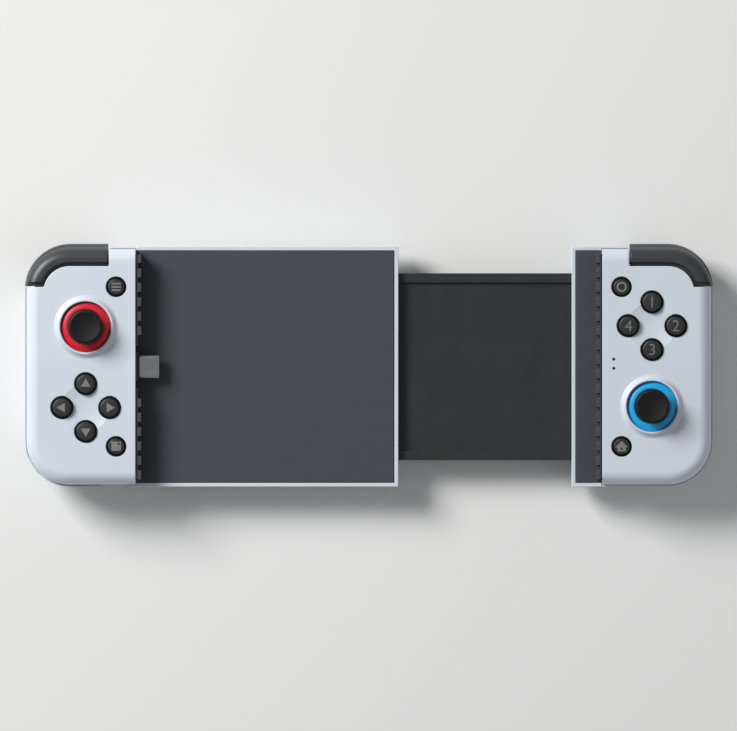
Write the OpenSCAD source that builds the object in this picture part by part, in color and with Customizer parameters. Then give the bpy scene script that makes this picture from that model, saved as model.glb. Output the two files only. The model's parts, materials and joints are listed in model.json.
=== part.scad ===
// Stretching mobile game controller: two grips clamp a phone between them. The left grip carries a tray,
// and the right grip slides in it on a flat plate. The controller lies on its back with its face up.
// X runs from the left grip to the right one, Y to the shoulder buttons, Z up out of the face.

/* [Overall] */
// Gap between the two grips, as pulled open for a large phone
phone_gap = 164.4; // [150:0.1:176]
// Width of each grip
grip_w = 39.4; // [38.8:0.1:44]
// Depth of the grips and the tray, without the triggers
body_d = 84.8; // [83:0.1:96]
// Height of the grip faces above the table
face_z = 24.5; // [24.2:0.1:28]
// Height of the rear covers, which is also the height of the tray
rear_h = 14.6; // [14.4:0.1:15]
// Radius of the outer corners of the grips
corner_r = 16.2; // [15.4:0.1:18]
// Wall thickness of the white mouldings
wall = 1.8; // [1.4:0.1:2]
// Width of the rear cover's rim that shows round the front cover
rim_step = 0.9; // [0.4:0.1:1.2]
// Rounding of the front cover's edge
edge_r = 4.5; // [3:0.1:5]

/* [Hand hump] */
// How far the hump draws in at the outer side
hump_side = 11; // [6:0.5:13]
// How far it draws in at the palm end
hump_palm = 30; // [20:0.5:34]
// How far it draws in at the trigger end
hump_top = 16; // [12:0.5:18]
// How far it draws in at the phone side, below the tray
hump_phone = 7; // [3:0.5:9]
// Fullness of the hump, where 2 is an ellipse
hump_power = 2.2; // [1.9:0.1:3]

/* [Tray and slider] */
// Length of the tray from the left grip
tray_len = 92.6; // [80:0.1:92.6]
// Length of the short frame on the right grip
stub_len = 10.6; // [8:0.1:14]
// Height of the tray's underside above the table
tray_z = 6.2; // [5.4:0.1:6.4]
// Width of the white rim round the tray pad
tray_rim = 1.4; // [1:0.1:3]
// Rounding of the tray's lower edges
tray_edge = 2; // [1:0.1:2.4]
// Floor thickness of the tray
tray_floor = 1.6; // [1.2:0.1:1.8]
// Roof thickness of the tray, under the pad
tray_roof = 1.3; // [1:0.1:1.5]
// Thickness of the rubber pads
pad_t = 1.1; // [0.8:0.1:1.2]
// How far the pads stand above the rim
pad_proud = 0.2; // [0.1:0.1:0.4]
// Width of the slider plate
slider_w = 66; // [64:0.5:68]
// Length of the slider that stays inside the tray in the shown position
slider_hold = 28; // [24:0.5:30]
// Thickness of the slider's web between its rails
slider_web = 2; // [1.4:0.1:2.4]
// Width of the slider's rails
slider_rail = 3.4; // [2:0.1:3.6]
// Sliding clearance round the slider
slide_gap = 0.2; // [0.1:0.05:0.3]

/* [Sticks] */
// Distance of a stick, and of a button cluster, from the grip's phone side
stick_in = 17.5; // [17.4:0.1:18.5]
// Distance of a stick from the grip's middle line
stick_y = 14; // [13.6:0.1:14.4]
// Radius of the collar at its foot
collar_foot_r = 12.1; // [11.6:0.1:12.6]
// Radius of the collar at its top
collar_top_r = 9.7; // [9.5:0.1:10.2]
// Height of the collar above the face
collar_h = 1.6; // [1:0.1:1.8]
// Radius of the coloured ring
ring_r = 8.9; // [8.6:0.1:9.1]
// Radius of the ring's eye
ring_eye_r = 5.5; // [5.3:0.1:5.9]
// Radius of the thumb cap
cap_r = 6.1; // [5.6:0.1:6.2]
// Height of the thumb cap above the face
cap_h = 7.5; // [7.3:0.1:9]
// Depth of the stick's pivot below the face
pivot_drop = 10; // [9.8:0.1:10.2]

/* [Buttons] */
// Distance of a button cluster from the grip's middle line
cluster_y = 14.4; // [14:0.1:15]
// Distance of each button from its cluster's middle
cluster_r = 8.35; // [8:0.05:8.8]
// Radius of the cluster buttons
button_r = 3.85; // [3.5:0.05:4]
// Height of the cluster buttons above the face
button_proud = 1; // [0.85:0.05:1.6]
// Radius of the shallow dish in the middle of a cluster
dish_r = 8.4; // [7:0.1:9]
// Depth of that dish
dish_depth = 1; // [0.5:0.1:1.2]
// Radius of the small buttons
small_r = 3.4; // [3:0.05:3.6]
// Height of the small buttons above the face
small_proud = 0.6; // [0.3:0.05:1]
// Distance of the small buttons from the grip's phone side
small_in = 6.8; // [6.6:0.1:7]
// Distance of the small buttons from the grip's middle line
small_y = 28.1; // [27.8:0.1:28.4]
// Clearance round a button in its hole
button_gap = 0.2; // [0.1:0.05:0.3]
// Travel of a button
press = 0.8; // [0.4:0.1:0.9]

/* [Shoulder buttons] */
// Width of the gap in the front cover that the bumper fills
band_w = 7; // [6.4:0.1:7.2]
// Width of the bumper's lower ledge that shows beside the white cover
ledge_w = 1.4; // [1.2:0.1:1.8]
// Height of the bumper's lower edge above the table
bumper_z = 14.2; // [14:0.1:14.6]
// Rounding of the bumper's outer edge
bumper_edge = 4; // [2:0.1:4.2]
// Distance from the phone side to the bumper's inner end
bumper_in = 9.2; // [8.8:0.1:10]
// How far the trigger stands out past the grip
trigger_proud = 1.05; // [0.6:0.05:1.4]
// Radius of the trigger's rounded skin
trigger_r = 9.05; // [8.8:0.05:9.2]
// Thickness of the trigger's skin
trigger_skin = 2; // [1.4:0.1:2.2]
// Radius of the triggers' steel pins
pin_r = 1; // [0.8:0.05:1.1]
// Trigger travel, in degrees
trigger_turn = 10; // [6:1:11]

/* [Plug and wall panels] */
// Thickness of the phone that the plug is set for
phone_t = 8.4; // [8:0.1:8.8]
// Radius of the plug's drum
drum_r = 2.4; // [2.2:0.1:2.5]
// Length of the plug's drum
drum_len = 10.6; // [10:0.1:10.8]
// Width of the plug's metal shell
plug_w = 8.25; // [8.2:0.05:8.3]
// Thickness of the plug's metal shell
plug_t = 2.4; // [2.3:0.05:2.5]
// Length of the plug's metal shell
plug_len = 6.5; // [6:0.1:7]
// How far the wall panels stand out of the grips
panel_proud = 0.9; // [0.5:0.1:1.2]
// Depth of the panels' ribs
rib_d = 1.1; // [0.5:0.1:1.4]
// Width of one rib
rib_w = 3.25; // [2.5:0.05:3.8]
// Distance from rib to rib
rib_pitch = 5.08; // [5:0.02:5.1]

/* [Hidden] */
$fn = 48;
clear = 0.15;               // gap between pieces that are assembled loosely
fit = 0.05;                 // running clearance of pins in their bores
cut = 1;                    // overshoot of a cutting shape
root = 0.5;                 // how far a post is rooted in its wall
fine = 180;                 // facets on a large, shallow curve

// Places that everything else is measured from
x_in = phone_gap / 2;       // phone side of each grip
x_out = x_in + grip_w;      // outer side of each grip
y_mid = -trigger_proud / 2; // middle line of the grips
y_top = y_mid + body_d / 2;
y_bot = y_mid - body_d / 2;
corner_x = corner_r - x_out;
corner_top = y_top - corner_r;
corner_bot = y_bot + corner_r;
skin_z = face_z - wall;     // underside of the front cover's face
seam = [0.35, 0.6];         // shadow line between the covers: width, depth
drawn_d = 84.8;             // grip depth for which the controls' places along it are given
spread = body_d / drawn_d;

// Hump of the rear covers: facets on a corner, rings from rim to table, and the phone side's edge radius
hump_facets = 10;
hump_levels = 11;
hump_edge = 0.6;
hump_flat = 0.4;            // shortest straight run between two corners of the hump

// Boards and the screws that clamp them between the covers. Spots are from the outer side and the middle.
board_t = 1.2;
board_z = rear_h - 0.4;
board_top = board_z + board_t;
board_inset = rim_step + wall + 0.6;
screw_r = 1;
boss_r = 2.4;
head_r = 1.9;
head_h = 1.4;
head_seat = 9;
screw_len = 11;
tray_screw_at = [4, 6.1];     // from the phone side, and from a cluster's middle
tray_screw = [grip_w - tray_screw_at[0], (cluster_y + tray_screw_at[1]) * spread];
palm_screw = [6.3, 13.9];   // from the outer side and the lower edge
port_screw_y = 6;           // from the lower edge
port_room = 0.53;           // room between the charge port and the screw beside it
peg_at = [4.2, -13.5];      // from the phone side, and from the middle
peg_spot = [grip_w - peg_at[0], peg_at[1]];
peg_r = 2;
peg_top = 10.6;

// Tray, slider and what runs through them
pad_floor = rear_h + pad_proud - pad_t;
channel_bot = tray_z + tray_floor;
channel_top = pad_floor - tray_roof;
channel_w = slider_w + 2 * slide_gap;
slider_bot = channel_bot + slide_gap;
slider_top = channel_top - slide_gap;
tray_split = (channel_bot + channel_top) / 2;
tray_end = tray_len - x_in;
stub_end = x_in - stub_len;
slider_start = tray_end - slider_hold;
tray_side = 2.1;            // walls on each side of the hollows beside the channel
hollow_w = (body_d - channel_w) / 2 - 2 * tray_side;
window_w = slider_w + 2;    // opening in the phone side of the rear covers
tab_len = 7.6;
tab_w = 9;
tab_t = 1.2;
tab_z = tray_z + 0.2;
spring_z = (slider_bot + slider_top) / 2;
spring_r = 1.7;
spring_turns = 18;
spring_lead = 3;            // straight wire between a hook and the coil
wire_r = 0.35;
wire_sides = 6;
turn_steps = 8;
hook_step = 30;
post_r = 1.2;
post_in = 11;               // spring post, from the grip's outer side
lug_len = 8;
lug_w = 9;
lug_post = 3;               // spring post on the slider, from the slider's end
notch = [6, 5.2];
flex_w = 12;
flex_t = 0.3;
flex_wave = 1.4;
flex_folds = 6;
flex_in = 5;

// Stick parts
pivot_z = face_z - pivot_drop;
collar_sink = 0.1;          // how far the flare's foot lies below the face
ring_top = face_z + collar_h - 0.6;
ring_step = face_z - 0.9;
ring_bot = face_z - 2.2;
ring_slant = 0.8;           // how much the eye opens towards its top
ring_flat = 0.3;            // flat of the ring's top beside the eye
ring_fall = 1;              // fall of the ring's crown to its outer edge
ring_skirt_r = ring_eye_r + 2;
dome_r = norm([ring_eye_r, ring_bot - pivot_z]) - 0.25;
dome_t = 0.8;
dome_angle = 50;
shaft_r = 2;
hub_r = 2.6;
hub_h = 4;
cap_under = face_z + cap_h - 2.6;
cap_cone = 0.9;
cap_edge = 0.8;
cap_rim = 1;
cap_dish = 0.7;
cap_socket = face_z + cap_h - 1.6;
yoke_half = 6.4;
yoke_in = 4.3;
yoke_h = 3.2;
gimbal_pin_r = 1;
gimbal_pin = 7.7;           // reach of the yoke's pins
trunnion = 5.9;             // reach of the shaft's pins
carrier_half = 8.1;
carrier_in = 6.9;
carrier_top = pivot_z + 2;
carrier_drop = 4.1;         // from the pivot to the carrier's underside
carrier_bot = pivot_z - carrier_drop;
carrier_floor = 0.5;
module_half = 9.3;
module_wall = 1;
module_drop = 5.9;          // from the pivot to the module's underside
module_bot = pivot_z - module_drop;
module_floor = 0.8;
module_flange = 0.9;
module_flange_t = 0.6;
switch = [2, 0.4];          // click switch under the carrier: radius, height

// Button parts
flange_t = 1.4;
flange_w = 0.75;
flange_top = skin_z - 0.1;
stem_bot = flange_top - flange_t - 0.4;
stem_step = 0.6;
button_edge = 0.6;
button_crown = 24;
mat_t = 0.8;
mat_rim = 0.2;
dome_top = stem_bot - press - clear;
dome_foot = 0.4;
dome_head = 1.2;
lens_r = 0.42;
lens_flange = [0.9, 0.8];   // radius, thickness
lens_spots = [[4.1, 2.6], [4.1, -0.6]];

// Shoulder parts
end_x = -x_in - bumper_in;  // ends of the gap in the cover, on the top edge and on the outer side
end_y = corner_top + 1.9;
bumper_gap = 0.7;
foot_gap = 0.3;             // gap at the bumper's outer end, beside its rocker
bumper_set = 0.4;           // how far the bumper sits behind the rim
bumper_top = face_z - 0.4;
bumper_shell = 1.8;
bumper_under = 1;           // how far its ledge goes under the cover
ledge_top = skin_z - 0.4;
rocker = [5.8 - x_out, corner_top - 0.9];
rocker_r = 1.2;
lug_r = 2.5;
lug_z = 17;
lug_h = 3;
arm_w = 4;
trigger_y = y_top + trigger_proud - trigger_r;
trigger_z = 11.4;
trigger_high = 10;          // upper and lower ends of the skin, in degrees
trigger_low = -75;
trigger_pin_in = 10;        // from the grip's upper edge
trigger_pin_y = y_top - trigger_pin_in;
trigger_pin_z = trigger_z;
trigger_hub_r = 1.9;
trigger_hub_len = 4;
trigger_tube_r = pin_r + 0.5;
bay_w = 8;                  // depth of the trigger's bay
bay_r = corner_r - bay_w;
ear_t = 1.6;
ear_in = 0.6;
ear_span = 13.2;
ear_back = 2.6;
ear_front = 1.9;
ear_head = 1.8;
ear_x = end_x - ear_in - ear_t;
ear_gap = 0.2;
web_t = 1.8;
web_h = [1.5, 1.2];         // below and above the skin's axis
coil_r = trigger_tube_r + 0.5;
coil_wire_r = 0.25;
coil_turns = 3.5;
coil_len = 3;
coil_leg = 5.4;
spring_share = 41 / 56;     // place in the room between a tray screw's pillar and a trigger's ear
spring_low = tray_screw[1] + boss_r + spring_r + wire_r;
spring_high = trigger_pin_y - ear_back - y_mid - spring_r - wire_r;
spring_y = spring_low + (spring_high - spring_low) * spring_share;

// Plug, panels and charge port
panel_t = 1.6;              // part of a panel inside its grip
panel_z = rear_h + pad_proud + 0.1;
panel_top = face_z - 0.6;
panel_rim = rim_step + wall + clear;
rib_past = 0.2;             // how far the end ribs may pass the panel's ends
rib_count = 1 + floor((body_d - 2 * (panel_rim - rib_past) - rib_w) / rib_pitch);
rib_clear = 11.6;           // half the length beside the plug without ribs
drum_x = x_in + 0.7;
drum_z = rear_h + pad_proud + phone_t / 2;
drum_pin_r = 1;
drum_pin = 1;
cradle_half = drum_len / 2 + clear;
cradle_t = 1.5;
cradle_back = 5;
plug_wall = 0.3;
plug_floor = 0.4;
plug_hole = cradle_half + cradle_t + 0.35;
plug_sill = panel_z + 1.2;  // lower edge of the plug's opening
port_in = 7.4;
port_w = 8.94;
port_t = 3.2;
port_len = 7.3;
port_wall = 0.35;
port_set = 1.2;             // how far the port sits behind the grip's edge
port_open = [9.8, 4.4];
port_tongue = [6.7, 0.7];
port_z = board_z - port_t / 2;
port_screw = [grip_w - port_in - port_w / 2 - boss_r - port_room, port_screw_y - body_d / 2];
screw_spots = [palm_screw - [0, body_d / 2], [6.9, 4], port_screw, tray_screw];

// The two grips, and the buttons of a cluster as directions from its middle
LEFT = -1;
RIGHT = 1;
UP = [0, 1];
DOWN = [0, -1];
WEST = [-1, 0];
EAST = [1, 0];
CLUSTER = [UP, DOWN, WEST, EAST];

// Places on the face of a grip
function stick_spot(side) = [side * (x_in + stick_in), y_mid - side * stick_y * spread];
function cluster_spot(side) = [side * (x_in + stick_in), y_mid + side * cluster_y * spread];
function key_spot(side, way) = cluster_spot(side) + cluster_r * way;
function small_spot(side, way) = [side * (x_in + small_in), y_mid + small_y * spread * way[1]];
function key_spots(side) = [for (way = CLUSTER) key_spot(side, way)];
function small_spots(side) = [for (way = [UP, DOWN]) small_spot(side, way)];

// A place on either grip as it falls on the left one, and one given from the outer side and the middle
function on_left(p) = [-abs(p[0]), p[1]];
function grip_spot(p) = [p[0] - x_out, y_mid + p[1]];

module at(spot, z = 0) translate([spot[0], spot[1], z]) children();

// Draws on the left grip, and mirrors for the right one
module on_side(side) {
    if (side == RIGHT) mirror([1, 0, 0]) children();
    else children();
}

// Stands an outline up so that its X runs along Y and its Y along Z, and pushes it along X
module along_x(x, length) translate([x, 0, 0]) rotate([90, 0, 90]) linear_extrude(length) children();

module stadium(w, t) {
    square([w - t, t], center = true);
    for (s = [-1, 1]) translate([s * (w - t) / 2, 0]) circle(d = t);
}

// Half of a slab's section, rounded at its outer upper edge
module edge_section(reach, h, r) {
    square([reach - r, h]);
    square([reach, h - r]);
    translate([reach - r, h - r]) intersection() {
        circle(r);
        square(r);
    }
}

// Slab with the left grip's outline, drawn in by inset, rounded along its three outer sides.
// It runs past the phone side by past.
module grip_slab(inset, z0, z1, r, past = 0) {
    reach = corner_r - inset;
    h = z1 - z0;
    run = -x_in - corner_x + past;
    for (corner = [[corner_top, 90], [corner_bot, 180]])
        translate([corner_x, corner[0], z0]) rotate(corner[1]) rotate_extrude(angle = 90)
            edge_section(reach, h, r);
    translate([0, corner_top, z0]) along_x(corner_x, run) edge_section(reach, h, r);
    translate([0, corner_bot, z0]) mirror([0, 1, 0]) along_x(corner_x, run) edge_section(reach, h, r);
    translate([corner_x, corner_bot, z0]) rotate([90, 0, 180])
        linear_extrude(corner_top - corner_bot) edge_section(reach, h, r);
    translate([corner_x, corner_bot, z0]) cube([run, corner_top - corner_bot, h]);
}

// Flat outline of the left grip, drawn in by inset
module grip_outline(inset) {
    reach = corner_r - inset;
    for (y = [corner_top, corner_bot]) translate([corner_x, y]) circle(reach);
    translate([corner_x - reach, corner_bot]) square([grip_w - inset, corner_top - corner_bot]);
    translate([corner_x, y_bot + inset]) square([-x_in - corner_x, body_d - 2 * inset]);
}

// Flat strip round the left grip's shoulder, from the top edge round to the outer side
module shoulder_band(r0, r1, x_end, y_end) {
    intersection() {
        translate([corner_x, corner_top]) difference() {
            circle(r1);
            circle(r0);
        }
        translate([corner_x - r1, y_end]) square([r1, corner_top + r1 - y_end]);
    }
    translate([corner_x, corner_top + r0]) square([x_end - corner_x, r1 - r0]);
}

// Sweeps a section round the shoulder, moved out along Y. The section's X is the distance from the axis.
module shoulder_sweep(x_end, out = 0) {
    translate([corner_x, corner_top + out, 0]) rotate(90) rotate_extrude(angle = 90) children();
    translate([0, corner_top + out, 0]) along_x(corner_x, x_end - corner_x) children();
}

// Lofts a closed solid through rings of points
module loft(rings) {
    n = len(rings[0]);
    last = n * (len(rings) - 1);
    sides = [for (j = [0 : n : last - n], i = [0 : n - 1])
        let (a = j + i, b = j + (i + 1) % n) each [[a, a + n, b], [b, a + n, b + n]]];
    lower = [for (i = [0 : n - 1]) i];
    upper = [for (i = [n - 1 : -1 : 0]) last + i];
    polyhedron([for (ring = rings) each ring], concat(sides, [lower, upper]), convexity = 4);
}

// Sweeps a round wire along points, carrying its first normal without twist
function unit(v) = v / norm(v);
function heading(p, i) = unit(p[min(i + 1, len(p) - 1)] - p[max(i - 1, 0)]);
function square_to(v, t) = unit(v - (v * t) * t);
function carried(p, first) = [for (i = 0, n = square_to(first, heading(p, 0)); i < len(p);
    i = i + 1, n = i < len(p) ? square_to(n, heading(p, i)) : n) n];

module wire(p, r, first) {
    normals = carried(p, first);
    loft([for (i = [0 : len(p) - 1])
        let (n = normals[i], b = cross(heading(p, i), n))
        [for (a = [0 : 360 / wire_sides : 359]) p[i] + r * (cos(a) * n + sin(a) * b)]]);
}

// Front cover: a moulded shell with a collar round the stick, open towards the phone

module front_cover(side) {
    stick = on_left(stick_spot(side));
    cluster = on_left(cluster_spot(side));
    keys = [for (way = CLUSTER) cluster + cluster_r * way];
    color("gainsboro") on_side(side) difference() {
        union() {
            difference() {
                grip_slab(rim_step, rear_h, face_z, edge_r);
                grip_slab(rim_step + wall, rear_h - cut, skin_z, edge_r - wall, cut);
            }
            at(stick, face_z - collar_sink) collar();
            for (p = screw_spots) at(grip_spot(p), board_top)
                cylinder(r = boss_r, h = skin_z - board_top + root);
            at(rocker, lug_z - bumper_gap) cylinder(r = rocker_r, h = skin_z - lug_z + bumper_gap + root);
        }
        at(stick, ring_step) cylinder(r = ring_r + fit, h = face_z);
        at(stick) cylinder(r = ring_skirt_r + clear, h = face_z);
        at(cluster, face_z - dish_depth) dish();
        for (p = keys) at(p) cylinder(r = button_r + button_gap, h = face_z + cut);
        for (p = small_spots(LEFT)) at(p) cylinder(r = small_r + button_gap, h = face_z + cut);
        for (p = screw_spots) at(grip_spot(p), head_seat)
            cylinder(r = screw_r + fit, h = screw_len + clear);
        translate([0, 0, rear_h - cut]) linear_extrude(face_z)
            shoulder_band(corner_r - band_w, corner_r + cut, end_x, end_y);
        if (side == LEFT) port_cut();
        if (side == RIGHT)
            for (p = lens_spots) at([-x_in - p[0], y_mid + p[1]])
                cylinder(r = lens_r + fit, h = face_z + cut);
    }
}

// Collar that flares into the face round a stick
module collar() {
    height = collar_h + collar_sink;
    flare = collar_foot_r - collar_top_r;
    r = (flare * flare + height * height) / (2 * height);
    rotate_extrude() difference() {
        square([collar_foot_r, height]);
        translate([collar_foot_r, r]) circle(r, $fn = fine);
    }
}

// Shallow round hollow in a face
module dish() {
    ball = (dish_r * dish_r + dish_depth * dish_depth) / (2 * dish_depth);
    translate([0, 0, ball]) sphere(ball, $fn = fine);
}

// Rear cover: a moulded cup, lofted from the rim down to a flat rest on the table

function arc(x, y, r, a0, a1, n) =
    [for (i = [0 : n]) let (a = a0 + (a1 - a0) * i / n) [x + r * cos(a), y + r * sin(a)]];

// Share of the full draw at depth t, where 0 is the rim and 1 is the table
function draw(t) = 1 - pow(1 - pow(t, hump_power), 1 / hump_power);

// Outline of the hump at depth t, drawn in by inset
function hump_outline(t, inset) =
    let (
        below = draw(max(0, 1 - (1 - t) * rear_h / tray_z)),
        x0 = -x_out + hump_side * draw(t) + inset,
        x1 = -x_in - hump_phone * below - inset,
        y0 = y_bot + hump_palm * draw(t) + inset,
        y1 = y_top - hump_top * draw(t) - inset,
        edge = hump_edge + hump_phone * below,
        r = min(corner_r, x1 - x0 + 2 * inset - edge - hump_flat) - inset,
        s = max(hump_edge, edge - inset),
        n = hump_facets
    )
    concat(arc(x0 + r, y0 + r, r, 180, 270, n), arc(x1 - s, y0 + s, s, 270, 360, n / 2),
        arc(x1 - s, y1 - s, s, 0, 90, n / 2), arc(x0 + r, y1 - r, r, 90, 180, n));

function hump_ring(t, inset, z) = [for (p = hump_outline(t, inset)) [p[0], p[1], z]];

// Solid hump from height floor_z up to the rim, drawn in by inset and carried up past the rim by past
module hump(inset, floor_z, past = 0) {
    rings = [for (i = [hump_levels : -1 : 0])
        let (t = sin(90 * i / hump_levels)) hump_ring(t, inset, rear_h - (rear_h - floor_z) * t)];
    loft(past > 0 ? concat(rings, [hump_ring(0, inset, rear_h + past)]) : rings);
}

module rear_cover(side) {
    color("lightgray") on_side(side) difference() {
        hump(0, 0);
        difference() {
            hump(wall, wall, cut);
            rear_posts(side);
            trigger_ears();
        }
        for (p = screw_spots) at(grip_spot(p), -cut) {
            cylinder(r = screw_r + clear, h = rear_h + 2 * cut);
            cylinder(r = head_r + clear, h = head_seat + cut);
        }
        difference() {
            translate([0, 0, -cut]) linear_extrude(rear_h + 2 * cut)
                shoulder_band(bay_r, corner_r + cut, end_x, end_y);
            trigger_ears();
        }
        translate([-x_in - wall - cut, y_mid - window_w / 2, tray_z])
            cube([wall + 2 * cut, window_w, rear_h]);
        translate([0, 0, rear_h - seam[1]]) linear_extrude(rear_h) difference() {
            grip_outline(rim_step - seam[0]);
            grip_outline(rim_step);
        }
        if (side == LEFT) port_cut();
    }
}

// Pillars under the board, the peg that locates the tray, and the left grip's spring posts
module rear_posts(side) {
    for (p = screw_spots) at(grip_spot(p)) cylinder(r = boss_r, h = board_z);
    at(grip_spot(peg_spot)) cylinder(r = peg_r, h = peg_top);
    if (side == LEFT)
        for (s = [-1, 1]) at(grip_spot([post_in, s * spring_y])) cylinder(r = post_r, h = slider_top);
}

// Two upright plates that carry the trigger's pin
module trigger_ears() {
    for (x = [ear_x, ear_x - ear_span - ear_t]) difference() {
        translate([x, trigger_pin_y - ear_back, 0])
            cube([ear_t, ear_back + ear_front, trigger_pin_z + ear_head]);
        translate([x - cut, trigger_pin_y, trigger_pin_z]) rotate([0, 90, 0])
            cylinder(r = pin_r, h = ear_t + 2 * cut);
    }
}

// Tray: a base and a cover make a flat sleeve for the slider

// Section of the whole tray between two heights, rounded at its lower edges
module tray_section(z0, z1) {
    intersection() {
        union() {
            translate([y_bot, tray_z + tray_edge]) square([body_d, rear_h - tray_z - tray_edge]);
            translate([y_bot + tray_edge, tray_z]) square([body_d - 2 * tray_edge, tray_edge]);
            for (y = [y_bot + tray_edge, y_top - tray_edge])
                translate([y, tray_z + tray_edge]) circle(tray_edge);
        }
        translate([y_bot, z0]) square([body_d, z1 - z0]);
    }
}

// The left grip's length of tray: a channel right through, and a hollow on each side with a closed end
module tray_shape(length, z0, z1) {
    difference() {
        along_x(-x_in, length) tray_section(z0, z1);
        along_x(-x_in - cut, length + 2 * cut) translate([y_mid - channel_w / 2, channel_bot])
            square([channel_w, channel_top - channel_bot]);
        along_x(-x_in - cut, length - wall + cut) for (s = [-1, 1])
            translate([y_mid + s * (body_d + channel_w) / 4 - hollow_w / 2, channel_bot])
                square([hollow_w, channel_top - channel_bot]);
        translate([-x_in - cut, y_bot + tray_rim, pad_floor])
            cube([length - tray_rim + cut, body_d - 2 * tray_rim, rear_h]);
    }
}

// Tabs on the tray's floor, which sit over a pillar and a peg in the grip
module floor_tabs() {
    difference() {
        for (p = [tray_screw, peg_spot])
            translate([-x_in - tab_len, y_mid + p[1] - tab_w / 2, tab_z]) cube([tab_len, tab_w, tab_t]);
        pillar_holes();
    }
}

module pillar_holes() {
    at(grip_spot(tray_screw)) cylinder(r = boss_r + clear, h = rear_h);
    at(grip_spot(peg_spot)) cylinder(r = peg_r + clear, h = rear_h);
}

// Rubber pad that lies inside the rim of a tray of this length
module pad_shape(length) {
    translate([-x_in, y_bot + tray_rim + clear, pad_floor])
        cube([length - tray_rim - clear, body_d - 2 * (tray_rim + clear), pad_t]);
}

module tray_base() {
    color("gainsboro") {
        tray_shape(tray_len, tray_z, tray_split);
        floor_tabs();
    }
}

module tray_cover() color("gainsboro") tray_shape(tray_len, tray_split, rear_h);

module tray_pad() color("#3a3c41") pad_shape(tray_len);

module right_tray_frame() {
    color("gainsboro") mirror([1, 0, 0]) {
        tray_shape(stub_len, tray_z, rear_h);
        floor_tabs();
    }
}

module right_tray_pad() color("#3a3c41") mirror([1, 0, 0]) pad_shape(stub_len);

// Flat plate with a rail along each edge and a post for each spring. Its right end sits over the grip's
// pillar and peg.
module slider_plate() {
    web_z = spring_z - slider_web / 2;
    color("#26282b") {
        difference() {
            union() {
                translate([slider_start, y_mid - slider_w / 2, web_z])
                    cube([x_in + tab_len - slider_start, slider_w, slider_web]);
                for (y = [y_mid - slider_w / 2, y_mid + slider_w / 2 - slider_rail])
                    translate([slider_start, y, slider_bot])
                        cube([x_in - slider_start, slider_rail, slider_top - slider_bot]);
            }
            mirror([1, 0, 0]) pillar_holes();
            for (s = [-1, 1])
                translate([slider_start - cut, y_mid + s * spring_y - notch[1] / 2, web_z - cut])
                    cube([notch[0] + cut, notch[1], slider_web + 2 * cut]);
        }
        for (s = [-1, 1]) translate([slider_start, y_mid + s * spring_y, slider_bot]) {
            translate([0, -lug_w / 2, 0]) cube([lug_len, lug_w, web_z - slider_bot]);
            translate([lug_post, 0, 0]) cylinder(r = post_r, h = slider_top - slider_bot);
        }
    }
}

// One coil spring along X between two posts, hooked round both
function spring_path(x0, x1, y) =
    let (
        hook_r = post_r + wire_r + clear,
        steps = spring_turns * turn_steps,
        a = x0 + spring_lead,
        b = x1 - spring_lead
    )
    concat(
        [for (t = [300 : -hook_step : 90]) [x0 + hook_r * cos(t), y + hook_r * sin(t), spring_z]],
        [for (i = [0 : steps])
            let (
                r = spring_r * min(1, i / turn_steps * 2, (steps - i) / turn_steps * 2),
                t = 360 * i / turn_steps
            )
            [a + (b - a) * i / steps, y + r * cos(t), spring_z + r * sin(t)]],
        [for (t = [90 : -hook_step : -120]) [x1 + hook_r * cos(t), y + hook_r * sin(t), spring_z]]);

module tension_springs() {
    x0 = post_in - x_out;
    x1 = slider_start + lug_post;
    color("silver") for (s = [-1, 1]) wire(spring_path(x0, x1, y_mid + s * spring_y), wire_r, [0, 0, 1]);
}

// Waved ribbon from under the left board to the slider
module flex_cable() {
    x0 = -x_in - flex_in;
    length = slider_start - x0;
    steps = flex_folds * turn_steps;
    wave = [for (i = [0 : steps])
        [x0 + length * i / steps, spring_z + flex_wave * sin(360 * i / turn_steps)]];
    lower = [for (i = [0 : steps]) wave[i] - [0, flex_t / 2]];
    upper = [for (i = [steps : -1 : 0]) wave[i] + [0, flex_t / 2]];
    color("#b5651d") translate([0, y_mid + flex_w / 2, 0]) rotate([90, 0, 0]) linear_extrude(flex_w) {
        polygon(concat(lower, upper));
        translate([x0 - flex_t / 2, spring_z - flex_t / 2])
            square([flex_t, board_z - spring_z + flex_t / 2]);
    }
}

// Wall panels, plug and charge port

// Ribbed panel that closes a grip's phone side
module wall_panel(side) {
    y0 = y_bot + panel_rim;
    w = body_d - 2 * panel_rim;
    color("#303236") on_side(side) difference() {
        union() {
            intersection() {
                translate([-x_in - panel_t, y0, panel_z]) cube([panel_t, w, face_z]);
                grip_slab(panel_rim, rear_h, skin_z - clear, edge_r - wall);
            }
            translate([-x_in, y0, panel_z]) cube([panel_proud, w, panel_top - panel_z]);
            for (i = [0 : rib_count - 1]) {
                y = (i - (rib_count - 1) / 2) * rib_pitch;
                if (side == RIGHT || abs(y) > rib_clear)
                    translate([panel_proud - x_in, y_mid + y - rib_w / 2, panel_z])
                        cube([rib_d, rib_w, panel_top - panel_z]);
            }
        }
        if (side == LEFT) translate([-x_in - panel_t - cut, y_mid - plug_hole, plug_sill])
            cube([panel_t + panel_proud + 2 * cut, 2 * plug_hole, face_z]);
    }
}

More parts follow.
